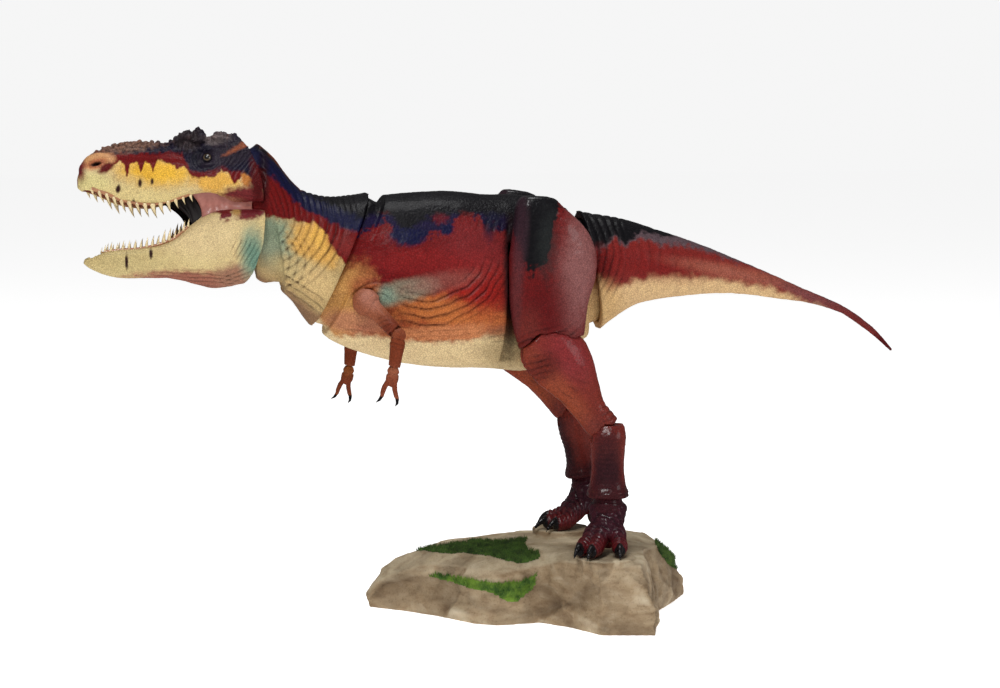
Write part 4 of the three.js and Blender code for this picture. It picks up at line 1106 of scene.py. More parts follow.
def fitted(mesh: bpy.types.Mesh, tree: BVHTree, reach: float, loose: Points) -> Points:
    """Draws a mesh's outer points onto a smooth skin.

    Args:
        mesh: The mesh, whose points move.
        tree: The smooth skin.
        reach: How far a point may be from the skin, in millimetres.
        loose: How free each point is of the skin, from 0 to 1.

    Returns:
        For each point, how much it belongs to the skin, from 0 to 1.
    """
    points = corners(mesh)
    normals = facings(mesh)
    weights = np.zeros(len(points))
    shift = np.zeros_like(points)
    for i, (point, normal) in enumerate(zip(points, normals)):
        spot, facing, _, away = tree.find_nearest(Vector(point), reach * MM)
        if spot is None:
            continue
        agree = abs(facing.dot(Vector(normal)))
        near = min(1.0, (1 - away / (reach * MM)) * NEAR_GAIN)
        weight = near * min(1.0, max(0.0, (agree - LEAST_AGREEMENT) * AGREEMENT_GAIN))
        weight *= 1 - loose[i]
        weights[i] = weight
        shift[i] = (np.array(spot) - point) * weight
    put_corners(mesh, points + evened(mesh, shift, SHIFT_ROUNDS))
    return evened(mesh, weights[:, None], WEIGHT_ROUNDS)[:, 0]


def evened(mesh: bpy.types.Mesh, values: Points, times: int) -> Points:
    """Averages values over neighbouring points.

    Args:
        mesh: The mesh.
        values: One row for each point.
        times: How often they are averaged.

    Returns:
        The smoother values.
    """
    ends = np.empty(len(mesh.edges) * 2, dtype=np.int32)
    mesh.edges.foreach_get("vertices", ends)
    first, second = ends.reshape(-1, 2).T
    count = len(values)
    links = np.bincount(first, minlength=count) + np.bincount(second, minlength=count)
    for _ in range(times):
        total = np.empty_like(values)
        for k in range(values.shape[1]):
            total[:, k] = np.bincount(first, values[second, k], count)
            total[:, k] += np.bincount(second, values[first, k], count)
        values = values * 0.5 + total / np.maximum(links, 1)[:, None] * 0.5
    return values


@dataclass
class Hide:
    """One moulded piece of hide: its smooth form, its wrinkles and its paint."""

    PAINT_SEED = 40
    RUGGED_SIZE = 9 * MM
    CREASE_GAIN = 1.1
    INNER_EDGE = (0.15, 0.6)

    node: str
    body: str
    slot: str
    name: str
    canvas: Canvas
    lofts: list[Loft]
    base: Colour
    folds: list[Fold] = field(default_factory=list)
    bumps: list[Bump] = field(default_factory=list)
    layers: list[Mark | Band] = field(default_factory=list)
    voxel: float = 0.9
    polish: int = 6
    reach: float = 3.0
    pebble: float = 2.2
    pebble_height: float = 0.12
    rugged: float = 0.25
    inner: Colour | None = None
    seed: int = 5
    also: tuple[str, ...] = ()
    fillers: tuple[bpy.types.Mesh, ...] = ()
    solid: bool = True
    finish: HideFinish = field(default_factory=lambda: HideFinish("painted_hide"))

    def sculpt(self, mesh: bpy.types.Mesh, outer: Points) -> Points:
        """Raises wrinkles, swellings and pebbles.

        Args:
            mesh: The mesh.
            outer: How much each point belongs to the outside.

        Returns:
            The creases: above zero where the paint's wash gathers, below zero on ridges.
        """
        points = corners(mesh)
        across, down = self.canvas.spread(points)
        folds = np.zeros(len(points))
        for fold in self.folds:
            folds += fold.height(across, down, points)
        lift = folds.copy()
        for bump in self.bumps:
            lift += bump.lift(across, down)
        grain = Grain(self.seed)
        pebbles = grain.pebbles(points, self.pebble * MM)
        lift += (pebbles - 0.5) * self.pebble_height
        lift += grain.layered(points, self.RUGGED_SIZE) * self.rugged
        lift *= 1 - self.shine(points)
        put_corners(mesh, points + facings(mesh) * (lift * outer * MM)[:, None])
        return np.clip(-folds * self.CREASE_GAIN, -1, 1) * outer

    def coat(self, rest: Points, outer: Points) -> Points:
        """Paints the hide.

        Args:
            rest: The points before they were sculpted.
            outer: How much each point belongs to the outside.

        Returns:
            The colour of each point.
        """
        across, down = self.canvas.spread(rest)
        noise = Grain(self.seed + self.PAINT_SEED)
        colours = np.tile(np.array(self.base), (len(rest), 1))
        for layer in self.layers:
            cover = layer.cover(across, down, rest, noise)[:, None]
            colours = colours * (1 - cover) + np.array(layer.colour) * cover
        if self.inner is None:
            return colours
        shown = ease(outer, *self.INNER_EDGE)[:, None]
        return colours * shown + np.array(self.inner) * (1 - shown)

    def shine(self, rest: Points) -> Points:
        """Says where the hide is smooth and glossy, as on claws: 1 there and 0 elsewhere."""
        return np.zeros(len(rest))

    def build(self) -> bpy.types.Object:
        """Builds the piece and puts it in place of its node."""
        nodes = (self.node, *self.also)
        piece = remeshed(nodes if self.solid else (), self.name, self.voxel, self.polish, self.fillers)
        mesh = piece.data
        outer = np.zeros(len(mesh.vertices))
        for loft in self.lofts:
            outer = np.maximum(outer, fitted(mesh, loft.tree(), self.reach, self.loose(corners(mesh))))
        if not self.lofts:
            outer[:] = 1
        outer = self.outside(corners(mesh), outer)
        rest = corners(mesh)
        crease = self.sculpt(mesh, outer)
        glossy = self.shine(rest)
        colours = self.coat(rest, outer)
        colours = colours * (1 - glossy)[:, None] + np.array(CLAW_BLACK) * glossy[:, None]
        put_attribute(mesh, "coat", colours)
        put_attribute(mesh, "crease", crease * (1 - glossy))
        put_attribute(mesh, "shine", glossy)
        mesh.materials.append(self.finish.make())
        smooth(mesh)
        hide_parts(*nodes)
        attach(piece, self.body)
        LOG.info("%s: %d faces", self.name, len(mesh.polygons))
        return piece

    def loose(self, points: Points) -> Points:
        """Says which points stand clear of the smooth skin, as horns do: 1 there and 0 elsewhere."""
        return np.zeros(len(points))

    def outside(self, points: Points, outer: Points) -> Points:
        """Lets a piece say which points lie outside beyond its skin."""
        return np.maximum(outer, self.loose(points))


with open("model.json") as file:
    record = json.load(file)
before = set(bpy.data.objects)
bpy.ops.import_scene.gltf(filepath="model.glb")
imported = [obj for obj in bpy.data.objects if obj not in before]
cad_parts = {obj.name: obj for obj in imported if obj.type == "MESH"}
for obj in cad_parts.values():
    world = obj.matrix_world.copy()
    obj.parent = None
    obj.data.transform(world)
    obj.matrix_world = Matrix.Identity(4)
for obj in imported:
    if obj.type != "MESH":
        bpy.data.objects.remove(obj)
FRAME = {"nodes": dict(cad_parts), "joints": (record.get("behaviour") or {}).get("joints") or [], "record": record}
CAD_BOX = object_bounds()


def joint(name: str) -> dict[str, object]:
    """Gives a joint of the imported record."""
    return next(j for j in FRAME["joints"] if j["name"] == name)


def pivot(name: str) -> Vector:
    """Gives where a joint turns."""
    return Vector(joint(name)["pos_m"])


def axes(origin: Vector, across: Vector, down: Vector) -> Matrix:
    """Makes a frame from its origin, its Y axis and a point further down its bone.

    Args:
        origin: The frame's origin.
        across: The Y axis.
        down: A point below the origin, on the side of -Z.

    Returns:
        The frame.
    """
    y = across.normalized()
    z = (origin - down).normalized()
    x = y.cross(z).normalized()
    z = x.cross(y).normalized()
    place = Matrix((x, y, z)).transposed().to_4x4()
    place.translation = origin
    return place


TRUNK = (
    (1.01, 0.26, 1.33, -0.43, 0.37, 0.05),
    (0.93, 0.27, 1.24, -0.53, 0.40, 0.08),
    (0.82, 0.28, 1.05, -0.61, 0.45, 0.12),
    (0.67, 0.29, 0.82, -0.67, 0.48, 0.15),
    (0.50, 0.29, 0.58, -0.70, 0.50, 0.16),
    (0.31, 0.27, 0.33, -0.71, 0.49, 0.16),
    (0.16, 0.27, 0.12, -0.73, 0.45, 0.15),
    (-0.01, 0.25, -0.03, -0.70, 0.41, 0.12),
    (-0.14, 0.20, -0.19, -0.61, 0.36, 0.10),
    (-0.25, 0.16, -0.36, -0.50, 0.28, 0.05),
)
NECK = (
    (-0.14, 0.52, 0.41, -0.43, 0.50, 0.05),
    (0.02, 0.50, 0.48, -0.36, 0.48, 0.08),
    (0.20, 0.49, 0.56, -0.27, 0.44, 0.10),
    (0.38, 0.51, 0.63, -0.21, 0.41, 0.10),
    (0.52, 0.56, 0.71, -0.16, 0.39, 0.10),
    (0.64, 0.67, 0.80, -0.13, 0.38, 0.10),
    (0.74, 0.77, 0.88, -0.10, 0.37, 0.08),
    (0.86, 0.85, 0.95, -0.08, 0.37, 0.05),
    (1.00, 0.91, 1.01, -0.07, 0.36, 0.00),
)
SKULL = (
    (0.10, 0.98, 0.03, 0.09, 0.50, 0.12),
    (0.15, 0.99, 0.13, 0.09, 0.49, 0.16),
    (0.22, 0.98, 0.24, 0.13, 0.46, 0.20),
    (0.31, 0.96, 0.34, 0.22, 0.42, 0.22),
    (0.39, 0.96, 0.44, 0.22, 0.36, 0.20),
    (0.48, 0.93, 0.52, 0.17, 0.31, 0.15),
    (0.57, 0.87, 0.62, 0.13, 0.29, 0.12),
    (0.67, 0.89, 0.71, 0.15, 0.27, 0.10),
    (0.75, 0.88, 0.79, 0.19, 0.25, 0.08),
    (0.84, 0.81, 0.86, 0.26, 0.23, 0.05),
    (0.91, 0.74, 0.93, 0.31, 0.20, 0.00),
    (0.96, 0.61, 0.97, 0.32, 0.14, 0.00),
    (0.99, 0.47, 0.99, 0.35, 0.06, 0.00),
)
JAW = (
    (0.03, 0.05, 0.11, -0.86, 0.49, -0.10),
    (0.13, 0.05, 0.17, -0.87, 0.49, -0.15),
    (0.24, 0.05, 0.26, -0.91, 0.45, -0.20),
    (0.31, 0.03, 0.32, -0.91, 0.41, -0.22),
    (0.38, -0.04, 0.38, -0.87, 0.35, -0.20),
    (0.45, -0.17, 0.46, -0.82, 0.31, -0.18),
    (0.52, -0.31, 0.54, -0.78, 0.28, -0.15),
    (0.61, -0.39, 0.62, -0.78, 0.26, -0.12),
    (0.70, -0.43, 0.72, -0.78, 0.24, -0.10),
    (0.79, -0.44, 0.80, -0.77, 0.21, -0.10),
    (0.87, -0.46, 0.88, -0.72, 0.18, -0.10),
    (0.93, -0.50, 0.94, -0.65, 0.11, 0.00),
    (0.97, -0.55, 0.97, -0.59, 0.03, 0.00),
)
TAIL = (
    (-0.009, 0.520, -0.071, -0.480, 0.51, 0.05),
    (-0.052, 0.491, -0.104, -0.407, 0.49, 0.08),
    (-0.108, 0.467, -0.142, -0.333, 0.45, 0.10),
    (-0.170, 0.427, -0.184, -0.273, 0.41, 0.12),
    (-0.241, 0.360, -0.241, -0.237, 0.37, 0.12),
    (-0.316, 0.293, -0.316, -0.213, 0.33, 0.12),
    (-0.406, 0.200, -0.401, -0.195, 0.29, 0.10),
    (-0.491, 0.101, -0.486, -0.197, 0.24, 0.10),
    (-0.566, 0.013, -0.561, -0.219, 0.20, 0.10),
    (-0.642, -0.080, -0.637, -0.253, 0.16, 0.08),
    (-0.712, -0.169, -0.708, -0.280, 0.12, 0.05),
    (-0.783, -0.251, -0.774, -0.325, 0.09, 0.00),
    (-0.844, -0.333, -0.835, -0.387, 0.07, 0.00),
    (-0.896, -0.427, -0.887, -0.480, 0.05, 0.00),
    (-0.948, -0.547, -0.939, -0.587, 0.04, 0.00),
    (-1.000, -0.707, -0.995, -0.727, 0.02, 0.00),
)
THIGH = (
    (-0.42, 0.26, -0.06, 0.20),
    (-0.40, 0.34, 0.03, 0.34),
    (-0.33, 0.39, 0.13, 0.42),
    (-0.24, 0.40, 0.27, 0.47),
    (-0.12, 0.41, 0.41, 0.50),
    (0.02, 0.42, 0.49, 0.50),
    (0.14, 0.43, 0.52, 0.50),
    (0.29, 0.42, 0.51, 0.49),
    (0.50, 0.40, 0.45, 0.47),
    (0.72, 0.35, 0.43, 0.45),
    (0.88, 0.29, 0.41, 0.44),
    (1.00, 0.24, 0.38, 0.42),
)
SHIN = (
    (-0.22, 0.14, 0.24, 0.46),
    (-0.12, 0.26, 0.50, 0.48),
    (0.00, 0.30, 0.58, 0.48),
    (0.16, 0.28, 0.60, 0.46),
    (0.34, 0.23, 0.52, 0.43),
    (0.52, 0.20, 0.39, 0.39),
    (0.70, 0.20, 0.27, 0.36),
    (0.84, 0.21, 0.25, 0.36),
    (0.93, 0.20, 0.24, 0.35),
)
METATARSUS = (
    (-0.16, 0.30, 0.42, 0.44),
    (0.00, 0.42, 0.46, 0.47),
    (0.22, 0.44, 0.43, 0.44),
    (0.48, 0.40, 0.38, 0.42),
    (0.74, 0.42, 0.40, 0.46),
    (0.88, 0.50, 0.46, 0.54),
    (0.95, 0.50, 0.46, 0.54),
)

BLACK = paint(15, 14, 18)
MAROON = paint(112, 26, 24)
BLOOD = paint(84, 16, 18)
CREAM = paint(214, 190, 144)
BONE = paint(204, 184, 140)
TEAL = paint(122, 150, 132)
CLAW_BLACK = paint(20, 18, 20)


@dataclass
class Trunk:
    """The rib cage and the hips."""

    hip_at: tuple[float, float, float] = (0.007, 0.0, 0.235)
    length: float = 106
    height: float = 110
    width: float = 76

    def loft(self) -> Loft:
        """Gives the smooth skin of the whole trunk."""
        place = Matrix.Translation(self.hip_at)
        return Loft(TRUNK, self.length, self.height, self.width, place)

    def folds(self) -> list[Fold]:
        """Gives the wrinkles over the ribs, round the shoulder and behind the thigh."""
        rings = Pattern.RINGS
        return [
            Fold(
                (425, 236), (54, 98), 7.2, 1.9, pattern=rings, window=(400, 262, 507, 336), warp=0.9, seed=2
            ),
            Fold((440, 336), (54, 9), 5.5, 0.8, 3, warp=0.5, seed=3),
            Fold((378, 312), (13, 36), 6.0, 1.5, pattern=rings, window=(352, 274, 394, 308), seed=6),
            Fold((360, 331), (20, 8), 5.5, 1.1, -6, seed=7),
            Fold((392, 320), (7, 14), 5.0, 0.8, 60, seed=5),
            Fold((548, 250), (28, 62), 7.5, 1.2, pattern=rings, window=(570, 205, 620, 300), seed=8),
            Fold((494, 226), (8, 30), 7.5, 1.2, 80, seed=9),
            Fold((500, 336), (14, 8), 6.0, 1.2, 12, seed=10),
        ]

    def layers(self) -> list[Mark | Band]:
        """Gives the trunk's paint, from the ground coat to the last blotch."""
        back = (
            (340, 236), (362, 234), (376, 227), (386, 222), (393, 232), (402, 242), (418, 243), (427, 234),
            (438, 233), (450, 228), (458, 214), (464, 204), (474, 214), (490, 224), (505, 232), (540, 240),
        )
        belly = (
            (300, 300), (336, 336), (365, 335), (401, 340), (440, 343), (467, 342), (490, 334), (508, 338),
            (540, 340), (600, 300),
        )
        high = tuple((x, y - 22) for x, y in belly)
        return [
            Band(high, paint(150, 78, 44), above=False, soft=20, ragged=8, grain=9),
            Mark(
                (470, 300), (44, 30), paint(140, 40, 26), lean=28, soft=0.5, ragged=0.2, grain=6,
                strength=0.8,
            ),
            Mark(
                (446, 312), (58, 15), paint(188, 112, 58), lean=-8, soft=0.6, ragged=0.4, grain=5,
                strength=0.85,
            ),
            Mark((478, 284), (24, 30), paint(138, 20, 18), lean=20, soft=0.6, strength=0.75),
            Mark((404, 291), (33, 11), paint(128, 126, 106), lean=13, soft=0.4, ragged=0.2, strength=0.95),
            Mark((386, 296), (9, 9), TEAL, soft=0.7, strength=0.8),
            Mark((344, 304), (24, 40), paint(196, 146, 82), lean=-28, soft=0.4, ragged=0.25, strength=0.95),
            Mark((356, 322), (34, 12), paint(176, 116, 88), lean=-4, soft=0.5, strength=0.8),
            Mark((364, 288), (14, 14), paint(146, 60, 42), lean=20, soft=0.6, strength=0.7),
            Mark((450, 333), (60, 8), paint(196, 128, 84), lean=2, soft=0.5, ragged=0.4, strength=0.8),
            Band(belly, CREAM, above=False, soft=3.5, ragged=4, grain=5),
            Mark((500, 332), (14, 7), paint(120, 44, 30), soft=0.6, ragged=0.3, strength=0.7),
            Mark((512, 350), (30, 18), paint(150, 130, 92), soft=0.6, strength=0.8),
            Mark((474, 246), (36, 30), paint(122, 44, 46), soft=0.7, ragged=0.3, grain=5, strength=0.6),
            Mark((420, 262), (50, 12), paint(128, 30, 30), soft=0.6, ragged=0.3, grain=4, strength=0.8),
            Mark(
                (440, 282), (36, 9), paint(140, 84, 76), lean=10, soft=0.6, ragged=0.3, grain=4,
                strength=0.6,
            ),
            Band(back, paint(24, 16, 50), soft=2.2, ragged=12, grain=3.4),
            Mark((408, 236), (17, 10), paint(14, 16, 54), soft=0.3, ragged=0.4, grain=4),
            Mark((447, 229), (7, 6), paint(14, 16, 54), soft=0.3, ragged=0.5, grain=3),
            Band(tuple((x, y - 15) for x, y in back), BLACK, soft=5, ragged=10, grain=3.6),
            Mark((386, 210), (7, 4), MAROON, soft=0.3, ragged=0.5, grain=2.5, strength=0.95),
            Mark((440, 218), (8, 6), paint(96, 20, 30), soft=0.4, ragged=0.6, grain=2.5, strength=0.8),
            Mark((493, 214), (8, 24), paint(22, 22, 44), lean=-12, soft=0.4, ragged=0.3, strength=0.9),
            # painted shade: a near-black strip in the gap between the flank and the front of the thigh
            Mark((511, 268), (7, 76), paint(22, 8, 10), soft=0.5, strength=0.95),
            Band(((500, 214), (560, 214), (590, 224), (620, 232)), BLACK, soft=4, ragged=4),
            Mark((592, 312), (24, 26), paint(200, 164, 112), soft=0.5, strength=0.95),
        ]

    def bridge(self) -> bpy.types.Mesh:
        """Gives a slab that closes the seam between the rib cage and the hips."""
        seam = corners(FRAME["nodes"]["torso"].data)[:, 0].max()
        rings = [ring for ring in self.loft().rings() if abs(ring[:, 0].mean() - seam) < 8 * MM]
        rings = [ring.mean(axis=0) + (ring - ring.mean(axis=0)) * 0.985 for ring in rings]
        sides = len(rings[0])
        faces = ring_faces(len(rings), sides)
        faces.append(tuple(reversed(range(sides))))
        faces.append(tuple(range((len(rings) - 1) * sides, len(rings) * sides)))
        return mesh_from("belly_bridge", np.concatenate(rings), faces)

    def build(self) -> None:
        """Builds the rib cage and the hips as one painted hide."""
        Hide(
            "torso",
            "trunk",
            "body_paint",
            "trunk_hide",
            PictureCanvas(),
            [self.loft()],
            paint(104, 14, 16),
            self.folds(),
            [
                Bump((378, 296), (24, 22), 1.4),
                Bump((425, 250), (46, 30), 1.2),
                Bump((404, 292), (30, 8), -0.9, 12),
                Bump((468, 262), (24, 26), 0.9, -20),
                Bump((468, 340), (1.6, 24), -0.9),
            ],
            self.layers(),
            voxel=0.9,
            polish=4,
            pebble=1.9,
            seed=11,
            also=("pelvis",),
            fillers=(self.bridge(),),
            finish=HideFinish("body_hide", scale=1.45),
        ).build()


@dataclass
class Neck:
    """The neck with its folds."""

    length: float = 66
    height: float = 86
    width: float = 65

    def build(self) -> None:
        """Builds the neck."""
        place = Matrix.Translation(pivot("neck_nod"))
        loft = Loft(NECK, self.length, self.height, self.width, place)
        red = ((250, 214), (270, 217), (295, 219), (320, 226), (333, 246), (345, 264), (372, 300))
        nape = (
            (250, 160), (267, 172), (280, 184), (302, 208), (320, 217), (347, 229), (363, 235), (380, 238)
        )
        rings = Pattern.RINGS
        folds = [
            Fold(
                (210, 226), (48, 160), 5.4, 1.15, pattern=rings, window=(240, 110, 358, 218), warp=0.35,
                seed=21,
            ),
            Fold(
                (262, 216), (14, 90), 8.2, 1.5, pattern=rings, window=(266, 220, 350, 290), warp=0.45,
                seed=22,
            ),
            Fold(
                (262, 262), (8, 60), 7.0, 1.2, pattern=rings, window=(262, 238, 312, 286), warp=0.5, seed=24
            ),
            Fold((300, 292), (44, 14), 6.5, 1.4, -36, warp=0.4, seed=23),
            Fold((340, 258), (9, 34), 7.0, 0.7, 66, seed=25),
        ]
        layers = [
            Mark((280, 242), (20, 34), paint(134, 152, 126), lean=56, soft=0.35, ragged=0.2, strength=0.95),
            Mark((272, 254), (13, 16), paint(150, 160, 132), lean=50, soft=0.6, strength=0.7),
            Mark(
                (316, 244), (22, 28), paint(212, 164, 84), lean=55, soft=0.35, ragged=0.25, grain=5,
                strength=0.95,
            ),
            Mark((324, 236), (10, 16), paint(232, 182, 86), lean=60, soft=0.6, strength=0.8),
            Mark((296, 268), (26, 12), paint(184, 166, 118), lean=-14, soft=0.6),
            Mark((318, 282), (20, 14), paint(206, 178, 124), lean=-40, soft=0.6),
            Band(
                ((250, 268), (290, 292), (322, 316), (340, 340)), paint(138, 106, 76), above=False, soft=7
            ),
            Band(red, paint(104, 16, 16), soft=1.8, ragged=5, grain=4),
            Mark((349, 248), (10, 22), paint(116, 36, 34), lean=66, soft=0.4),
            Band(nape, paint(16, 18, 52), soft=2.6, ragged=6, grain=4),
            Band(tuple((x, y - 16) for x, y in nape), BLACK, soft=5, ragged=5, grain=4),
            # painted shadow: a dark line on the neck just under the back edge of the skull
            Mark((264, 176), (5, 30), paint(30, 12, 16), soft=0.6, strength=0.7),
            Band(
                ((250, 140), (266, 150), (284, 172), (300, 190)), paint(132, 66, 42), soft=2.2, ragged=2,
                strength=0.8,
            ),
        ]
        Hide(
            "neck",
            "neck",
            "neck_paint",
            "neck_hide",
            PictureCanvas(),
            [loft],
            paint(176, 152, 104),
            folds,
            [],
            layers,
            voxel=0.75,
            polish=3,
            pebble=1.6,
            pebble_height=0.08,
            rugged=0.2,
            seed=12,
            finish=HideFinish("neck_hide_paint", scale=1.1, relief=0.26),
        ).build()


@dataclass
class Tail:
    """The tapering tail."""

    length: float = 212
    height: float = 75
    width: float = 46

    def build(self) -> None:
        """Builds the tail."""
        place = Matrix.Translation(pivot("tail_lift"))
        loft = Loft(TAIL, self.length, self.height, self.width, place)
        low = (
            (570, 300), (598, 294), (626, 286), (659, 275), (720, 278), (770, 288), (820, 306), (900, 366)
        )
        top = (
            (560, 240), (590, 250), (600, 252), (614, 238), (626, 246), (642, 237), (659, 245), (690, 246),
            (720, 257), (760, 268), (800, 284), (850, 312), (900, 350),
        )
        folds = [
            Fold(
                (540, 252), (36, 98), 6.6, 1.3, pattern=Pattern.RINGS, window=(566, 200, 622, 296),
                warp=0.4, seed=31,
            ),
            Fold(
                (560, 262), (70, 110), 9.0, 0.6, pattern=Pattern.RINGS, window=(636, 225, 668, 268),
                warp=0.6, seed=34,
            ),
            Fold(
                (480, 270), (150, 420), 14, 0.25, pattern=Pattern.RINGS, window=(670, 200, 900, 360),
                seed=32,
            ),
            Fold((600, 322), (26, 10), 5, 0.6, 32, seed=33),
        ]
        layers = [
            Band(low, paint(212, 178, 130), above=False, soft=5, ragged=6, grain=7),
            Mark((646, 262), (60, 14), paint(120, 26, 24), lean=-8, soft=0.7, strength=0.8),
            Mark((740, 274), (60, 7), paint(160, 92, 74), lean=-11, soft=0.7, strength=0.8),
            Band(top, paint(84, 76, 82), soft=3, ragged=6, grain=4, strength=0.9),
            Band(
                ((560, 244), (598, 250), (614, 235), (626, 243), (642, 232), (660, 236), (690, 232)),
                BLACK, soft=2, ragged=6, grain=4,
            ),
            Mark((600, 268), (12, 20), paint(92, 14, 14), soft=0.5, ragged=0.4, strength=0.9),
            Mark((596, 304), (26, 22), paint(206, 170, 116), soft=0.5, strength=0.95),
            Mark((820, 300), (44, 6), paint(120, 74, 74), lean=-24, soft=0.7, strength=0.7),
            Mark((866, 330), (44, 12), paint(110, 36, 34), lean=-36, soft=0.6, strength=0.8),
            Mark((886, 344), (14, 10), BLOOD, lean=-40, soft=0.6),
        ]
        Hide(
            "tail",
            "tail",
            "body_paint",
            "tail_hide",
            PictureCanvas(),
            [loft],
            paint(124, 40, 36),
            folds,
            [],
            layers,
            voxel=0.85,
            polish=4,
            rugged=0.16,
            seed=13,
            finish=HideFinish("tail_hide_paint", scale=1.3, relief=0.3),
        ).build()


@dataclass(frozen=True)
class ToothRow:
    """How one jaw's teeth differ from the other's. Bend and gum are in millimetres."""

    teeth: int
    share: float
    long: float
    thick: float
    bend: float
    gum: float
    seed: int


UPPER_TEETH = ToothRow(teeth=14, share=0.84, long=0.9, thick=1.1, bend=2.1, gum=1.25, seed=61)
LOWER_TEETH = ToothRow(teeth=16, share=0.80, long=0.95, thick=0.85, bend=1.2, gum=1.0, seed=62)


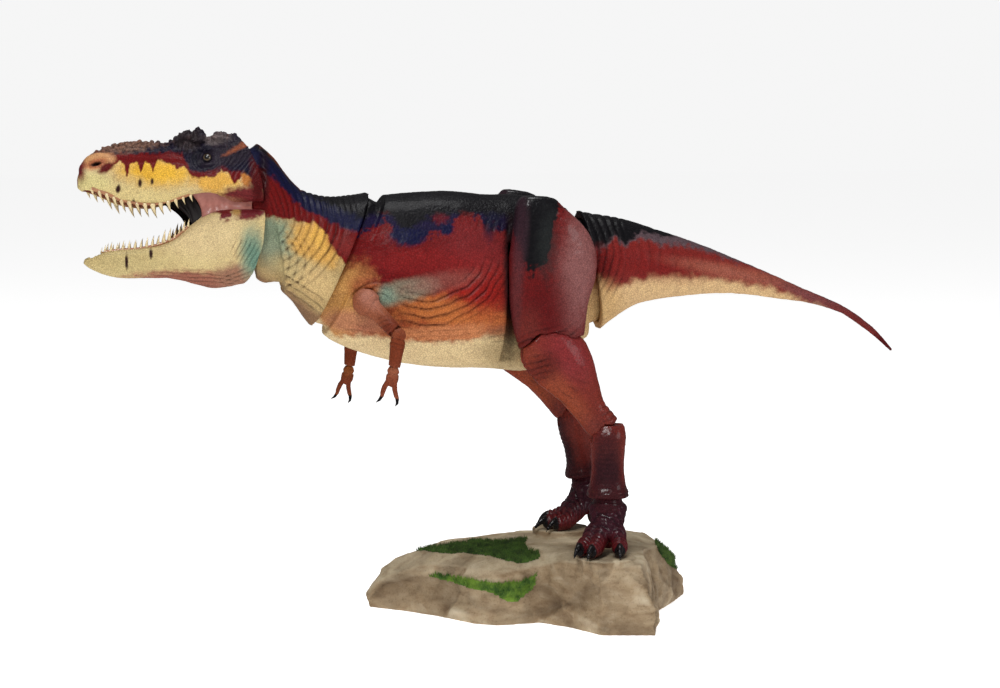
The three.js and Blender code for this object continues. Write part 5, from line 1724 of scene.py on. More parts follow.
@dataclass
class Head:
    """Skull, lower jaw, eyes, teeth, gums and the skin at the corners of the mouth."""

    length: float = 117
    height: float = 49
    width: float = 54
    turn: float = 5.0
    roll: float = -7.0
    eye_picture: tuple[float, float] = (207.0, 157.0)
    eye_radius: float = 3.2
    tooth_length: float = 7.6
    tooth_radius: float = 1.55
    horn_out: float = 9.0
    skin_thickness: float = 0.9
    skin_lap: float = 0.03
    last_jaw_row: float = 4.6

    def place(self) -> Matrix:
        """Gives the head's own frame."""
        turned = Euler((math.radians(self.roll), 0, math.radians(self.turn)), "ZYX").to_matrix().to_4x4()
        across = Vector(joint("jaw_close")["axis"]).normalized()
        x = turned.to_3x3() @ Vector((1, 0, 0))
        z = x.cross(across).normalized()
        frame = Matrix((x, across, z)).transposed().to_4x4()
        frame.translation = pivot("head_nod")
        return frame

    def skin(self, rows: tuple[tuple[float, ...], ...], top: float, low: float) -> Loft:
        """Gives the smooth skin of the skull or the jaw."""
        return Loft(rows, self.length, self.height, self.width, self.place(), top, low)

    def canvas(self) -> PictureCanvas:
        """Gives the canvas of both halves of the head."""
        frame = self.place()
        across = tuple(frame.to_3x3() @ Vector((0, 1, 0)))
        return PictureCanvas(tuple(frame.translation), across)

    def skull_folds(self) -> list[Fold]:
        """Gives the wrinkles of the skull."""
        rings = Pattern.RINGS
        return [
            Fold((118, 148), (42, 9), 3.6, 1.1, 6, warp=1.3, seed=41),
            Fold((188, 150), (12, 24), 3.4, 1.0, 74, warp=0.5, seed=40),
            Fold((242, 166), (20, 26), 4.2, 0.7, 52, warp=1.8, seed=42),
            Fold((207, 158), (8, 17), 3.0, 0.45, pattern=rings, warp=0.9, seed=43),
            Fold((246, 196), (18, 10), 5.0, 0.6, -12, warp=0.6, seed=45),
            Fold((222, 194), (20, 5), 3.6, 0.7, 4, seed=46),
        ]

    def skull_bumps(self) -> list[Bump]:
        """Gives the swellings and hollows of the skull."""
        knobs = [
            Bump(
                (90 + 6.2 * i, 158 - 15 * math.sin(0.5 + i * 0.11) + (i % 2)), (3.4, 3.8),
                1.3 + 0.4 * (i % 3), 20,
            )
            for i in range(12)
        ]
        return knobs + [
            Bump((207, 157.5), (8.5, 7), -2.2),
            Bump((206, 150), (15, 4.5), 2.0, lean=-4),
            Bump((206, 165), (11, 3.2), 1.0, lean=4),
            Bump((188, 146), (9, 14), 1.2, lean=-20),
            Bump((96, 164), (6, 2.4), -2.4, lean=14),
            Bump((97, 163.5), (14, 7.5), 1.3, lean=14, ring=True),
            Bump((160, 152), (40, 4), 1.0, lean=4),
            Bump((152, 162), (50, 5), -0.8, lean=-2),
            Bump((140, 199), (66, 4.5), 1.1, lean=-3),
            Bump((232, 202), (28, 6), 1.0),
            Bump((222, 190), (26, 5), -0.8, lean=-6),
        ]

    def skull_layers(self) -> list[Mark | Band]:
        """Gives the skull's paint."""
        crown = (
            (70, 158), (84, 154), (100, 158), (108, 170), (113, 166), (119, 161), (124, 164), (127, 178),
            (130, 164),
            (137, 162), (141, 173), (145, 162), (150, 164), (153, 172), (158, 159), (166, 162), (174, 165),
            (177, 169), (184, 166), (192, 176), (197, 178), (206, 176), (214, 178), (221, 170), (228, 172),
            (234, 184), (240, 178), (246, 174), (251, 184), (256, 186), (266, 190),
        )
        snout = (
            (70, 148), (95, 151), (112, 153), (140, 154), (165, 153), (182, 153), (190, 170), (200, 172),
            (212, 170), (222, 164), (232, 172), (244, 172), (254, 180), (266, 184),
        )
        dot = paint(50, 24, 22)
        return [
            Band(
                ((76, 176), (110, 178), (150, 182), (200, 190), (262, 196)), paint(216, 196, 136),
                above=False, soft=8, ragged=3,
            ),
            Mark((156, 170), (42, 12), paint(230, 180, 62), lean=-6, soft=0.6, ragged=0.25, grain=4),
            Mark(
                (218, 182), (25, 12), paint(226, 174, 76), lean=-12, soft=0.4, ragged=0.25, grain=4,
                strength=0.95,
            ),
            Mark((92, 180), (18, 8), paint(216, 204, 140), soft=0.6, strength=0.8),
            Mark((236, 192), (14, 7), paint(206, 188, 130), lean=-8, soft=0.5, strength=0.6),
            Band(crown, paint(104, 16, 18), soft=1.0, ragged=2.2, grain=2.2),
            Mark((246, 179), (5, 8), paint(186, 120, 58), lean=8, soft=0.35, ragged=0.4, grain=2),
            Band(snout, paint(22, 18, 40), soft=1.8, ragged=4, grain=3),
            Mark(
                (122, 146), (38, 7), paint(124, 94, 80), lean=6, soft=0.5, ragged=0.5, grain=2.2,
                strength=0.95,
            ),
            Mark((98, 162), (17, 8), paint(206, 154, 106), lean=14, soft=0.25, ragged=0.12),
            Mark((97, 163.5), (10, 4.4), paint(170, 100, 66), lean=14, soft=0.4, ragged=0.0),
            Mark((96, 164), (6, 2.0), paint(24, 8, 8), lean=14, soft=0.4, ragged=0.0),
            Mark((80, 168), (6, 10), paint(112, 30, 34), soft=0.5, ragged=0.2),
            Mark((106, 168), (8, 4), paint(96, 26, 26), lean=30, soft=0.4, ragged=0.3, grain=2),
            Mark((206, 158), (15, 11), paint(16, 16, 30), soft=0.3, ragged=0.15),
            Mark((218, 139), (15, 7), paint(104, 94, 94), soft=0.4, ragged=0.2, strength=0.9),
            Mark((188, 138), (14, 14), paint(52, 44, 46), soft=0.4, ragged=0.3, grain=2, strength=0.9),
            Mark((232, 152), (34, 13), paint(34, 26, 40), lean=20, soft=0.4, ragged=0.4, grain=3),
            Mark((244, 144), (20, 3.0), paint(150, 82, 52), lean=30, soft=0.5, ragged=0.4, grain=2),
            Mark((246, 198), (26, 11), paint(112, 40, 42), soft=0.35, ragged=0.3, grain=3),
            Mark((258, 178), (8, 26), paint(78, 14, 16), soft=0.5, ragged=0.3),
            Mark((214, 200), (24, 4), paint(176, 124, 96), soft=0.5, strength=0.85),
            Mark((118, 185), (2.4, 3.6), dot, lean=-20, soft=0.4, ragged=0.2, grain=1),
            Mark((140, 180), (1.9, 3.0), dot, soft=0.4, ragged=0.2, grain=1),
            Mark((152, 179), (1.6, 2.4), dot, soft=0.4, ragged=0.2, grain=1),
            Mark((103, 191), (3.2, 3.2), dot, lean=-30, soft=0.4, ragged=0.3, grain=1),
            Mark((133.5, 199), (1.8, 5.0), dot, soft=0.4, ragged=0.3, grain=1),
        ]

    def horns(self) -> tuple[bpy.types.Mesh, ...]:
        """Gives the knobs that make up the ridge of each brow horn."""
        ridge = (
            (162, 151, 1.7), (167, 148, 2.0), (172, 144, 2.2), (177, 140.5, 2.3), (182, 136.5, 2.4),
            (186, 133.5, 2.0), (188.5, 131.5, 1.3), (189, 138, 2.6), (191, 144, 2.8), (193, 150, 2.6),
        )
        frame = self.place()
        inverse = frame.inverted()
        beads = []
        for column, row, radius in ridge:
            start, way = SIGHT.ray(column, row)
            start, way = inverse @ start, inverse.to_3x3() @ way
            spot = (start + way * ((-self.horn_out * MM - start.y) / way.y)) / MM
            for side in (-1, 1):
                centre = (spot.x, side * self.horn_out, spot.z)
                beads.append(bead(frame, centre, (radius, radius * 0.8, radius)))
        return tuple(beads)

    def skull(self) -> None:
        """Builds the skull with the upper jaw."""
        SkullHide(
            "skull",
            "head",
            "head_paint",
            "skull_hide",
            self.canvas(),
            [self.skin(SKULL, 0.8, 0.45)],
            BONE,
            self.skull_folds(),
            self.skull_bumps(),
            self.skull_layers(),
            voxel=0.55,
            polish=3,
            reach=2.2,
            pebble=1.3,
            pebble_height=0.16,
            rugged=0.2,
            inner=paint(140, 80, 58),
            gnarl=2.0,
            lip=True,
            fillers=self.horns(),
            seed=14,
            place=self.place(),
            finish=HideFinish("head_hide_paint", scale=1.05, relief=0.34),
        ).build()

    def jaw(self) -> None:
        """Builds the lower jaw."""
        folds = [
            Fold((196, 278), (52, 11), 3.8, 1.1, -4, warp=0.6, seed=51),
            Fold((250, 254), (16, 28), 4.6, 1.2, 62, seed=52),
            Fold((238, 276), (22, 10), 4.2, 1.0, 22, seed=53),
        ]
        dot = paint(46, 22, 22)
        layers = [
            Mark((206, 232), (44, 26), paint(212, 190, 142), soft=0.6),
            Mark((118, 264), (50, 14), paint(190, 172, 120), lean=2, soft=0.5, strength=0.8),
            Mark((92, 262), (8, 7), paint(196, 176, 122), soft=0.6, strength=0.8),
            Mark((192, 281), (60, 10), paint(150, 96, 78), lean=-2, soft=0.4, ragged=0.35, grain=5),
            Mark((240, 276), (24, 12), paint(150, 110, 88), soft=0.5, ragged=0.2),
            Mark((252, 252), (12, 26), paint(134, 152, 126), soft=0.5, strength=0.9),
            Mark((255, 258), (9, 18), paint(96, 138, 122), lean=20, soft=0.6, strength=0.8),
            Mark((248, 212), (17, 8), paint(108, 34, 40), soft=0.3, ragged=0.35, grain=3),
            Mark((225, 212), (6, 9), paint(104, 30, 36), lean=6, soft=0.3, ragged=0.5, grain=2.4),
            Mark((220, 209), (16, 4), paint(110, 34, 34), soft=0.4, ragged=0.3, grain=2),
            Mark((237, 210), (4, 6), paint(196, 160, 92), soft=0.5, ragged=0.4, strength=0.8),
            Mark((126.6, 262), (1.6, 8), dot, soft=0.4, ragged=0.3, grain=1.4),
            Mark((151, 254), (1.8, 5.2), dot, soft=0.4, ragged=0.3, grain=1.4),
        ]
        SkullHide(
            "lower_jaw",
            "jaw",
            "head_paint",
            "lower_jaw_hide",
            self.canvas(),
            [self.skin(JAW, 0.45, 0.8)],
            paint(206, 186, 132),
            folds,
            [Bump((130, 250), (50, 3), 0.7, lean=4)],
            layers,
            voxel=0.55,
            polish=3,
            reach=2.2,
            pebble=1.3,
            pebble_height=0.1,
            rugged=0.18,
            inner=paint(132, 56, 44),
            seed=15,
            place=self.place(),
            finish=HideFinish("jaw_hide_paint", scale=1.0, relief=0.22, wash=0.4),
        ).build()

    @staticmethod
    def droop(points: Points) -> Points:
        """Finds how far the upper lip hangs below its plain line, in millimetres."""
        across, _ = SIGHT.picture(points)
        return np.interp(
            across, (74, 90, 114, 134, 156, 180, 200, 215), (1.0, 1.8, 2.6, 2.8, 2.4, 1.6, 0.8, 0.0)
        )

    def gum_line(self, upper: bool, share: float) -> list[Points]:
        """Gives the near and the far gum line.

        Args:
            upper: Whether it is the upper jaw's.
            share: How far out it lies, as a share of the jaw's half width.

        Returns:
            The points of each line, in the figure's frame.
        """
        rows = SKULL[4:11] if upper else JAW[5:11]
        lines = []
        for side in (-1, 1):
            points = []
            for top_ahead, top_up, low_ahead, low_up, half, _ in rows:
                ahead, up = (low_ahead, low_up + 0.03) if upper else (top_ahead, top_up - 0.005)
                points.append((-self.length * ahead, side * self.width * half * share, self.height * up))
            line = to_world(np.array(points) * MM, self.place())
            if upper:
                line[:, 2] -= self.droop(line) * MM
            lines.append(line)
        return lines

    def teeth(self, upper: bool) -> None:
        """Builds one jaw's teeth and gums.

        Args:
            upper: Whether they are the upper jaw's.
        """
        kind = UPPER_TEETH if upper else LOWER_TEETH
        lines = self.gum_line(upper, kind.share)
        points = np.concatenate(lines)
        count = len(lines[0])
        edges = [(i, i + 1) for i in range(len(points) - 1) if i != count - 1]
        name = "upper" if upper else "lower"
        mesh = bpy.data.meshes.new(f"{name}_teeth_and_gum")
        mesh.from_pydata([tuple(p) for p in points], edges, [])
        row = link(f"{name}_teeth_and_gum", mesh)
        long = self.tooth_length * kind.long
        recipe = Recipe(
            f"{name}_tooth_row",
            teeth=kind.teeth,
            length=long * MM,
            radius=self.tooth_radius * kind.thick * MM,
            bend=kind.bend * MM,
            gum=kind.gum * MM,
            seed=kind.seed,
        )
        line = recipe.node("GeometryNodeMeshToCurve", None, {"Mesh": recipe.value()})
        spots = recipe.node(
            "GeometryNodeResampleCurve", None, {"Curve": line, "Count": recipe.value("teeth")}
        )
        share = recipe.node("GeometryNodeSplineParameter", output="Factor")
        swell = recipe.sum("SINE", recipe.sum("MULTIPLY_ADD", share, 2.3, 0.5))
        grown = recipe.sum("MULTIPLY_ADD", swell, 0.55, 0.5)
        size = recipe.sum("MULTIPLY", grown, recipe.chance(0.72, 1.12))
        tooth = recipe.spike(9, 5, recipe.value("radius"), recipe.value("length"), recipe.value("bend"))
        shaded = recipe.node("GeometryNodeSetShadeSmooth", None, {"Geometry": tooth})
        down = Matrix.Rotation(math.pi if upper else 0.0, 3, "X")
        turn = (self.place().to_3x3() @ down).to_euler()
        real = recipe.scatter(spots, shaded, turn, size)
        ivory = GlossFinish(
            f"{name}_teeth_ivory", paint(226, 208, 160), paint(150, 104, 62), roughness=0.24
        ).make()
        teeth = recipe.painted(real, ivory)
        fine = recipe.node("GeometryNodeResampleCurve", None, {"Curve": line, "Count": 48})
        ring = recipe.node(
            "GeometryNodeCurvePrimitiveCircle", None, {"Resolution": 10, "Radius": recipe.value("gum")}
        )
        strip = recipe.node(
            "GeometryNodeCurveToMesh", None, {"Curve": fine, "Profile Curve": ring, "Fill Caps": True}
        )
        pink = GlossFinish(
            f"{name}_gum_wet", paint(172, 122, 84), paint(128, 70, 48), roughness=0.28
        ).make()
        recipe.apply(row, recipe.joined(teeth, recipe.painted(strip, pink)))
        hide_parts(f"{name}_teeth")
        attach(row, "head" if upper else "jaw")
        LOG.info("%s teeth: %d faces", name, len(row.data.polygons))

    def eyes(self) -> None:
        """Builds both eyes."""
        start, way = SIGHT.ray(*self.eye_picture)
        spot, facing, _, _ = self.skin(SKULL, 0.8, 0.45).tree().ray_cast(start, way)
        facing = -facing if facing.dot(way) > 0 else facing
        frame = self.place()
        inverse = frame.inverted()
        centre = inverse @ (spot - facing * (self.eye_radius * 0.78 * MM))
        axis = inverse.to_3x3() @ facing
        for side, label in ((1, "left"), (-1, "right")):
            middle = frame @ Vector((centre.x, centre.y * side, centre.z))
            out = (frame.to_3x3() @ Vector((axis.x, axis.y * side, axis.z))).normalized()
            place = out.to_track_quat("Z", "Y").to_matrix().to_4x4()
            place.translation = middle
            profile = []
            for step in range(25):
                angle = math.pi * step / 24
                bulge = 1 + 0.1 * math.exp(-((angle / 0.45) ** 2))
                reach = self.eye_radius * bulge
                profile.append((reach * math.sin(angle), reach * math.cos(angle)))
            eye = lathe(f"{label}_eye", profile, place, 40)
            finish = EyeFinish(f"{label}_eye_glass", tuple(middle), tuple(out), self.eye_radius * MM)
            eye.data.materials.append(finish.make())
            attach(eye, "head")
            LOG.info("%s eye: %d faces", label, len(eye.data.polygons))

    def lining(
        self, name: str, span: tuple[float, float], share: float, sag: float, wet: GlossFinish
    ) -> None:
        """Builds the stretched skin between the jaws, on both sides.

        Args:
            name: The skin's name.
            span: The first and the last of the jaws' rows between which it lies.
            share: How far out it lies, as a share of the jaws' half width.
            sag: How far its front edge is drawn back, in millimetres.
            wet: Its finish.
        """
        frame = self.place()
        material = wet.make()
        top_rows, low_rows = np.array(SKULL), np.array(JAW)
        for side, label in ((-1, "left"), (1, "right")):
            points = []
            columns, rows = 26, 14
            for i in range(columns):
                u = i / (columns - 1)
                at = span[0] + u * (span[1] - span[0])
                high = [np.interp(at, range(len(top_rows)), top_rows[:, k]) for k in (2, 3, 4)]
                end = min(at, self.last_jaw_row)
                low = [np.interp(end, range(len(low_rows)), low_rows[:, k]) for k in (0, 1, 4)]
                a, b = (
                    np.array(
                        [-self.length * ahead, side * self.width * half * share, self.height * (up + lap)]
                    )
                    for (ahead, up, half), lap in ((high, self.skin_lap), (low, -self.skin_lap))
                )
                for k in range(rows):
                    v = k / (rows - 1)
                    curve = math.sin(math.pi * v)
                    point = a * (1 - v) + b * v
                    point[0] += sag * u * curve
                    point[1] -= side * (1.6 * curve + 0.5 * math.sin(u * 26) * curve)
                    points.append(point)
            faces = [
                (i * rows + k, i * rows + k + 1, (i + 1) * rows + k + 1, (i + 1) * rows + k)
                for i in range(columns - 1)
                for k in range(rows - 1)
            ]
            if side > 0:
                faces = [face[::-1] for face in faces]
            mesh = mesh_from(f"{label}_{name}", to_world(np.array(points) * MM, frame), faces)
            sheet = link(f"{label}_{name}", mesh)
            thick = sheet.modifiers.new("thickness", "SOLIDIFY")
            thick.thickness = self.skin_thickness * MM
            thick.offset = 0
            settled(sheet)
            sheet.data.materials.append(material)
            smooth(sheet.data)
            upper = frame @ (Vector((-0.4 * self.length, 0, 0.2 * self.height)) * MM)
            lower = frame @ (Vector((-0.4 * self.length, 0, -0.1 * self.height)) * MM)
            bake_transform(sheet)
            LOG.info("%s %s: %d faces", label, name, len(sheet.data.polygons))

    def tongue(self) -> None:
        """Builds the tongue."""
        piece = remeshed(("tongue",), "tongue_moulded", 0.6, 10)
        mesh = piece.data
        points = corners(mesh)
        grain = Grain(64)
        lift = grain.layered(points, 4 * MM) * 0.3 + grain.smooth(points, 0.9 * MM) * 0.08
        put_corners(mesh, points + facings(mesh) * (lift * MM)[:, None])
        wet = GlossFinish(
            "tongue_wet_pink", paint(168, 92, 80), paint(112, 44, 40), streak=0.9, roughness=0.25
        )
        mesh.materials.append(wet.make())
        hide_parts("tongue")
        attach(piece, "jaw")
        LOG.info("tongue: %d faces", len(mesh.polygons))

    def build(self) -> None:
        """Builds the whole head."""
        self.skull()
        self.jaw()
        self.teeth(True)
        self.teeth(False)
        self.eyes()
        pink = GlossFinish("cheek_skin_wet", paint(164, 104, 92), paint(96, 36, 34), 1.6, 0.42, 0.15)
        # painted shade: the throat skin is a near-black sheet that fills the back of the mouth with its shade
        black = GlossFinish("throat_skin_painted_shade", paint(16, 6, 7), paint(6, 2, 3), 1.6, 0.6, 0.0)
        self.lining("cheek_skin", (1.0, 4.0), 0.83, 2.5, pink)
        self.lining("throat_skin", (3.6, 5.5), 0.66, 3.5, black)
        self.tongue()


def pole_faces(rings: int, sides: int) -> list[tuple[int, ...]]:
    """Gives the faces of a closed shape: its two poles come first, then its rings of points."""
    faces = []
    for k in range(sides):
        after = (k + 1) % sides
        faces.append((0, 2 + k, 2 + after))
        for r in range(rings - 1):
            a = 2 + r * sides
            faces.append((a + k, a + sides + k, a + sides + after, a + after))
        last = 2 + (rings - 1) * sides
        faces.append((1, last + after, last + k))
    return faces


def lathe(name: str, profile: list[tuple[float, float]], place: Matrix, sides: int) -> bpy.types.Object:
    """Turns a profile about a frame's Z axis.

    Args:
        name: The piece's name.
        profile: Distances from the axis and heights, in millimetres, from the top pole to the low one.
        place: The frame.
        sides: How many sides the piece has.

    Returns:
        The closed piece.
    """
    inner = profile[1:-1]
    points = [(0.0, 0.0, profile[0][1]), (0.0, 0.0, profile[-1][1])]
    for out, up in inner:
        for k in range(sides):
            angle = 2 * math.pi * k / sides
            points.append((out * math.cos(angle), out * math.sin(angle), up))
    mesh = mesh_from(name, to_world(np.array(points) * MM, place), pole_faces(len(inner), sides))
    smooth(mesh)
    return link(name, mesh)


def bead(
    place: Matrix, centre: tuple[float, float, float], radii: tuple[float, float, float]
) -> bpy.types.Mesh:
    """Gives a small closed ellipsoid.

    Args:
        place: Its frame.
        centre: Its centre in the frame, in millimetres.
        radii: Its three half widths, in millimetres.

    Returns:
        The mesh.
    """
    sides, rows = 18, 11
    points = [(0.0, 0.0, 1.0), (0.0, 0.0, -1.0)]
    for r in range(1, rows):
        angle = math.pi * r / rows
        for k in range(sides):
            turn = 2 * math.pi * k / sides
            points.append(
                (math.sin(angle) * math.cos(turn), math.sin(angle) * math.sin(turn), math.cos(angle))
            )
    shape = to_world((np.array(points) * radii + centre) * MM, place)
    return mesh_from("bead", shape, pole_faces(rows - 1, sides))


@dataclass
class SkullHide(Hide):
    """Hide of the skull or the jaw, with horns that stand clear of its skin, and the back of the mouth painted
    near-black as its shade.
    """

    LIP_ROWS = (170, 187)
    BROW_ROWS = (148, 158)
    SNOUT_COLUMNS = (88, 104)
    NAPE_COLUMNS = (250, 262)
    HORN_ROW = 149
    HORN_COLUMNS = (160, 166)
    BOSS_COLUMNS = (224, 230)
    KNOT_SEED = 7
    KNOT_SIZE = 3.4 * MM
    KNOT_LEVEL = 0.25
    THROAT = (44, 66)

    place: Matrix = field(default_factory=Matrix)
    # painted shade: the near-black colour at the back of the mouth
    throat: Colour = paint(10, 3, 4)
    gnarl: float = 0.0
    lip: bool = False

    def sculpt(self, mesh: bpy.types.Mesh, outer: Points) -> Points:
        """Roughens the snout's top, the brow and the horns, then the rest."""
        points = corners(mesh)
        across, down = self.canvas.spread(points)
        if self.lip:
            points[:, 2] -= Head.droop(points) * ease(down, *self.LIP_ROWS) * MM
            put_corners(mesh, points)
        top = (1 - ease(down, *self.BROW_ROWS)) * ease(across, *self.SNOUT_COLUMNS)
        top = top * (1 - ease(across, *self.NAPE_COLUMNS)) * outer
        grain = Grain(self.seed + self.KNOT_SEED)
        knots = np.abs(grain.layered(points, self.KNOT_SIZE, 3)) - self.KNOT_LEVEL
        put_corners(mesh, points + facings(mesh) * (knots * top * self.gnarl * MM)[:, None])
        return np.clip(super().sculpt(mesh, outer) - knots * top * 1.6, -1, 1)

    def loose(self, points: Points) -> Points:
        """Frees the horns and the bosses behind them."""
        across, down = self.canvas.spread(points)
        above = ease(self.HORN_ROW - down, -2, 2) * ease(across, *self.HORN_COLUMNS)
        return above * (1 - ease(across, *self.BOSS_COLUMNS))

    def coat(self, rest: Points, outer: Points) -> Points:
        """Paints the hide, and darkens the mouth towards the throat as painted shade."""
        colours = super().coat(rest, outer)
        ahead = -to_local(rest, self.place)[:, 0] / MM
        # painted shade: the inside of the mouth goes near-black towards the back
        deep = (1 - ease(ahead, *self.THROAT)) * (1 - ease(outer, *self.INNER_EDGE))
        return colours * (1 - deep)[:, None] + np.array(self.throat) * deep[:, None]


@dataclass
class FootHide(Hide):
    """Hide of a foot, with plates along each toe and glossy claws."""

    place: Matrix = field(default_factory=Matrix)
    side: int = 1
    length: float = 34
    sole: float = 32
    toe_width: float = 7.4
    toes: tuple[tuple[float, float, float], ...] = ((-14, 1, -0.1), (4, 0.80, 1.0), (-21, 0.86, -0.9))

    def toe_place(self, points: Points) -> tuple[Points, Points, Points]:
        """Finds each point on its toe.

        Args:
            points: The points, in metres.

        Returns:
            How far along its toe each point is as a share, how far beside it, and how far down.
        """
        local = to_local(points, self.place) / MM
        along = np.zeros(len(points))
        beside = np.full(len(points), 99.0)
        for turn, long, out in self.toes:
            angle = -self.side * math.radians(turn)
            x = local[:, 0]
            y = local[:, 1] - self.side * self.toe_width * out
            ahead = -(x * math.cos(angle) + y * math.sin(angle)) / (self.length * long)
            off = np.abs(-x * math.sin(angle) + y * math.cos(angle))
            nearer = off < beside
            along = np.where(nearer, ahead, along)
            beside = np.where(nearer, off, beside)
        return along, beside, -local[:, 2]

    def shine(self, rest: Points) -> Points:
        """Finds the claws."""
        along, beside, down = self.toe_place(rest)
        return ease(along, 0.85, 0.89) * (1 - ease(beside, 3.1, 3.8)) * ease(
            down, self.sole * 0.6, self.sole * 0.7
        )

    def sculpt(self, mesh: bpy.types.Mesh, outer: Points) -> Points:
        """Raises the plates along the toes, then the rest."""
        points = corners(mesh)
        along, beside, down = self.toe_place(points)
        top = (1 - ease(beside, 3.5, 6.5)) * (1 - ease(down, self.sole * 0.84, self.sole * 0.93))
        wave = np.abs(np.sin(math.pi * along * 10.5)) ** 0.6 - 0.6
        plates = wave * top * ease(along, 0.12, 0.25) * (1 - self.shine(points))
        put_corners(mesh, points + facings(mesh) * (plates * 0.9 * MM)[:, None])
        return np.clip(super().sculpt(mesh, outer) - plates * 1.2, -1, 1)


@dataclass
class Limb:
    """One limb of one side, with the names of its pieces."""

    side: str

    def names(self, piece: str) -> str:
        """Gives a node's or a body's full name."""
        return f"{self.side}_{piece}"

    def labels(self, piece: str, slot: str) -> tuple[str, str, str, str]:
        """Gives a piece's node and body, its slot and its hide's name."""
        return self.names(piece), self.names(piece), slot, self.names(f"{piece}_hide")


@dataclass
class Leg(Limb):
    """One leg, from the thigh to the toes."""

    TOE_STEPS = 15
    CLAW_STEPS = 9
    TOE_ROOT = 6.9
    TOE_TAPER = 3.1
    KNUCKLE = 0.35
    CLAW_ROOT = 3.1
    SLEEVE_ROWS = 10
    SLEEVE_SIDES = 40
    SLEEVE_TOP = 2.2
    SLEEVE_LENGTH = 10.5

    thigh_length: float = 70
    shin_length: float = 63.5
    metatarsus_length: float = 40.5

    def frames(self) -> dict[str, Matrix]:
        """Gives the frames of the thigh, the shin, the metatarsus and the foot."""
        hip = pivot(self.names("hip_swing"))
        knee = pivot(self.names("knee_flex"))
        hock = pivot(self.names("hock_flex"))
        ankle = pivot(self.names("toes_up"))
        level = Vector((0, 1, 0))
        toe_axis = Vector(joint(self.names("toes_up"))["axis"])
        below = Vector((0, 0, -1))
        flat = (hock - ankle).normalized()
        turned = toe_axis - flat * toe_axis.dot(flat)
        return {
            "thigh": axes(hip, level, knee),
            "shin": axes(knee, level, hock),
            "metatarsus": axes(hock, turned, ankle),
            "foot": axes(ankle, toe_axis, ankle + below),
        }

    def thigh(self, place: Matrix, wash: HideFinish) -> None:
        """Builds the thigh."""
        streak = (
            (-30, -27), (-12, -27), (-2, -24), (1, -12), (2, 0), (4, 10), (8, 14), (12, 18), (15, 16),
            (18, 11), (21, 2), (23, -6), (30, -10),
        )
        Hide(
            *self.labels("thigh", "limb_paint"),
            LimbCanvas(place),
            [Loft(THIGH, self.thigh_length, 58, 21, place, limb=True, top_power=0.85)],
            paint(104, 20, 20),
            [
                Fold((2, 60), (22, 12), 4.4, 1.5, -20, warp=0.6, seed=61),
                Fold((12, 68), (12, 8), 4.0, 1.2, 4, warp=0.5, seed=60),
                Fold((-12, 56), (14, 10), 5, 0.8, -40, seed=62),
                Fold((18, 20), (4, 34), 4.6, 0.5, 90, seed=63),
            ],
            [Bump((-8, 10), (16, 34), 1.6), Bump((12, 34), (10, 22), 1.0), Bump((17, -10), (4, 24), 0.8)],
            [
                Mark((-17, 14), (13, 36), paint(140, 92, 90), lean=4, soft=0.6, ragged=0.25, strength=0.85),
                Mark((2, 40), (14, 22), paint(92, 12, 14), soft=0.7, strength=0.8),
                Mark((14, 58), (10, 18), paint(112, 42, 34), soft=0.6, strength=0.7),
                Mark((-4, 64), (22, 10), paint(88, 26, 24), soft=0.6),
                Band(streak, BLACK, soft=2.4, ragged=9, grain=3),
                Mark((4, 0), (6, 18), paint(40, 44, 44), soft=0.6, ragged=0.4, strength=0.6),
                Mark((20, -4), (4, 26), paint(58, 36, 46), soft=0.6, strength=0.8),
                Mark((21, 36), (4, 30), paint(96, 44, 46), soft=0.6, strength=0.7),
            ],
            voxel=0.75,
            polish=8,
            seed=16,
            finish=wash,
        ).build()

    def shin(self, place: Matrix, wash: HideFinish) -> None:
        """Builds the shin."""
        Hide(
            *self.labels("shin", "limb_paint"),
            LimbCanvas(place),
            [Loft(SHIN, self.shin_length, 44, 21, place, limb=True, top_power=0.85)],
            paint(122, 44, 34),
            [
                Fold((8, 0), (12, 10), 4.2, 1.3, 20, seed=64),
                Fold((-8, 55), (8, 12), 4.0, 1.0, 20, seed=65),
                Fold((4, 26), (5, 24), 6.0, 0.7, 74, seed=68),
            ],
            [Bump((-10, 12), (13, 26), 1.4), Bump((2, 28), (6, 28), 0.8), Bump((-7, 58), (7, 9), 1.0)],
            [
                Mark((-14, 6), (13, 20), paint(132, 44, 48), soft=0.7, strength=0.8),
                Mark((6, 26), (7, 34), paint(146, 70, 42), soft=0.7, strength=0.7),
                Mark((4, 2), (10, 8), paint(90, 26, 22), soft=0.6, ragged=0.3, strength=0.8),
                Mark((0, 58), (16, 14), paint(108, 44, 38), soft=0.6, ragged=0.3, strength=0.8),
            ],
            voxel=0.7,
            polish=10,
            fillers=(bead(place, (0, 0, 0), (4.5, 10.8, 4.5)),),
            seed=17,
            also=(self.names("knee_pin"),),
            finish=wash,
        ).build()

    def metatarsus(self, place: Matrix, wash: HideFinish) -> None:
        """Builds the metatarsus with its column of plates."""
        Hide(
            *self.labels("metatarsus", "limb_paint"),
            LimbCanvas(place),
            [Loft(METATARSUS, self.metatarsus_length, 26, 24, place, limb=True, top_power=0.85)],
            paint(104, 34, 28),
            [
                Fold((14, 20), (5, 24), 3.0, 0.9, 0, warp=0.15, seed=66),
                Fold((0, 36), (17, 4), 3.2, 0.9, 0, seed=67),
                Fold((-6, 2), (9, 8), 4.0, 0.9, 20, seed=69),
            ],
            [Bump((-8, 2), (8, 9), 1.0)],
            [
                Mark((12, 20), (5, 26), paint(52, 20, 26), soft=0.5),
                Mark((-4, 6), (12, 12), paint(124, 50, 40), soft=0.6, strength=0.8),
                Mark((0, 37), (18, 8), paint(64, 22, 26), soft=0.6),
            ],
            voxel=0.65,
            polish=12,
            reach=4.5,
            fillers=(bead(Matrix.Translation(place.translation), (0, 0, 0), (5.0, 12.2, 5.0)),),
            seed=18,
            also=(self.names("hock_pin"),),
            finish=wash,
        ).build()

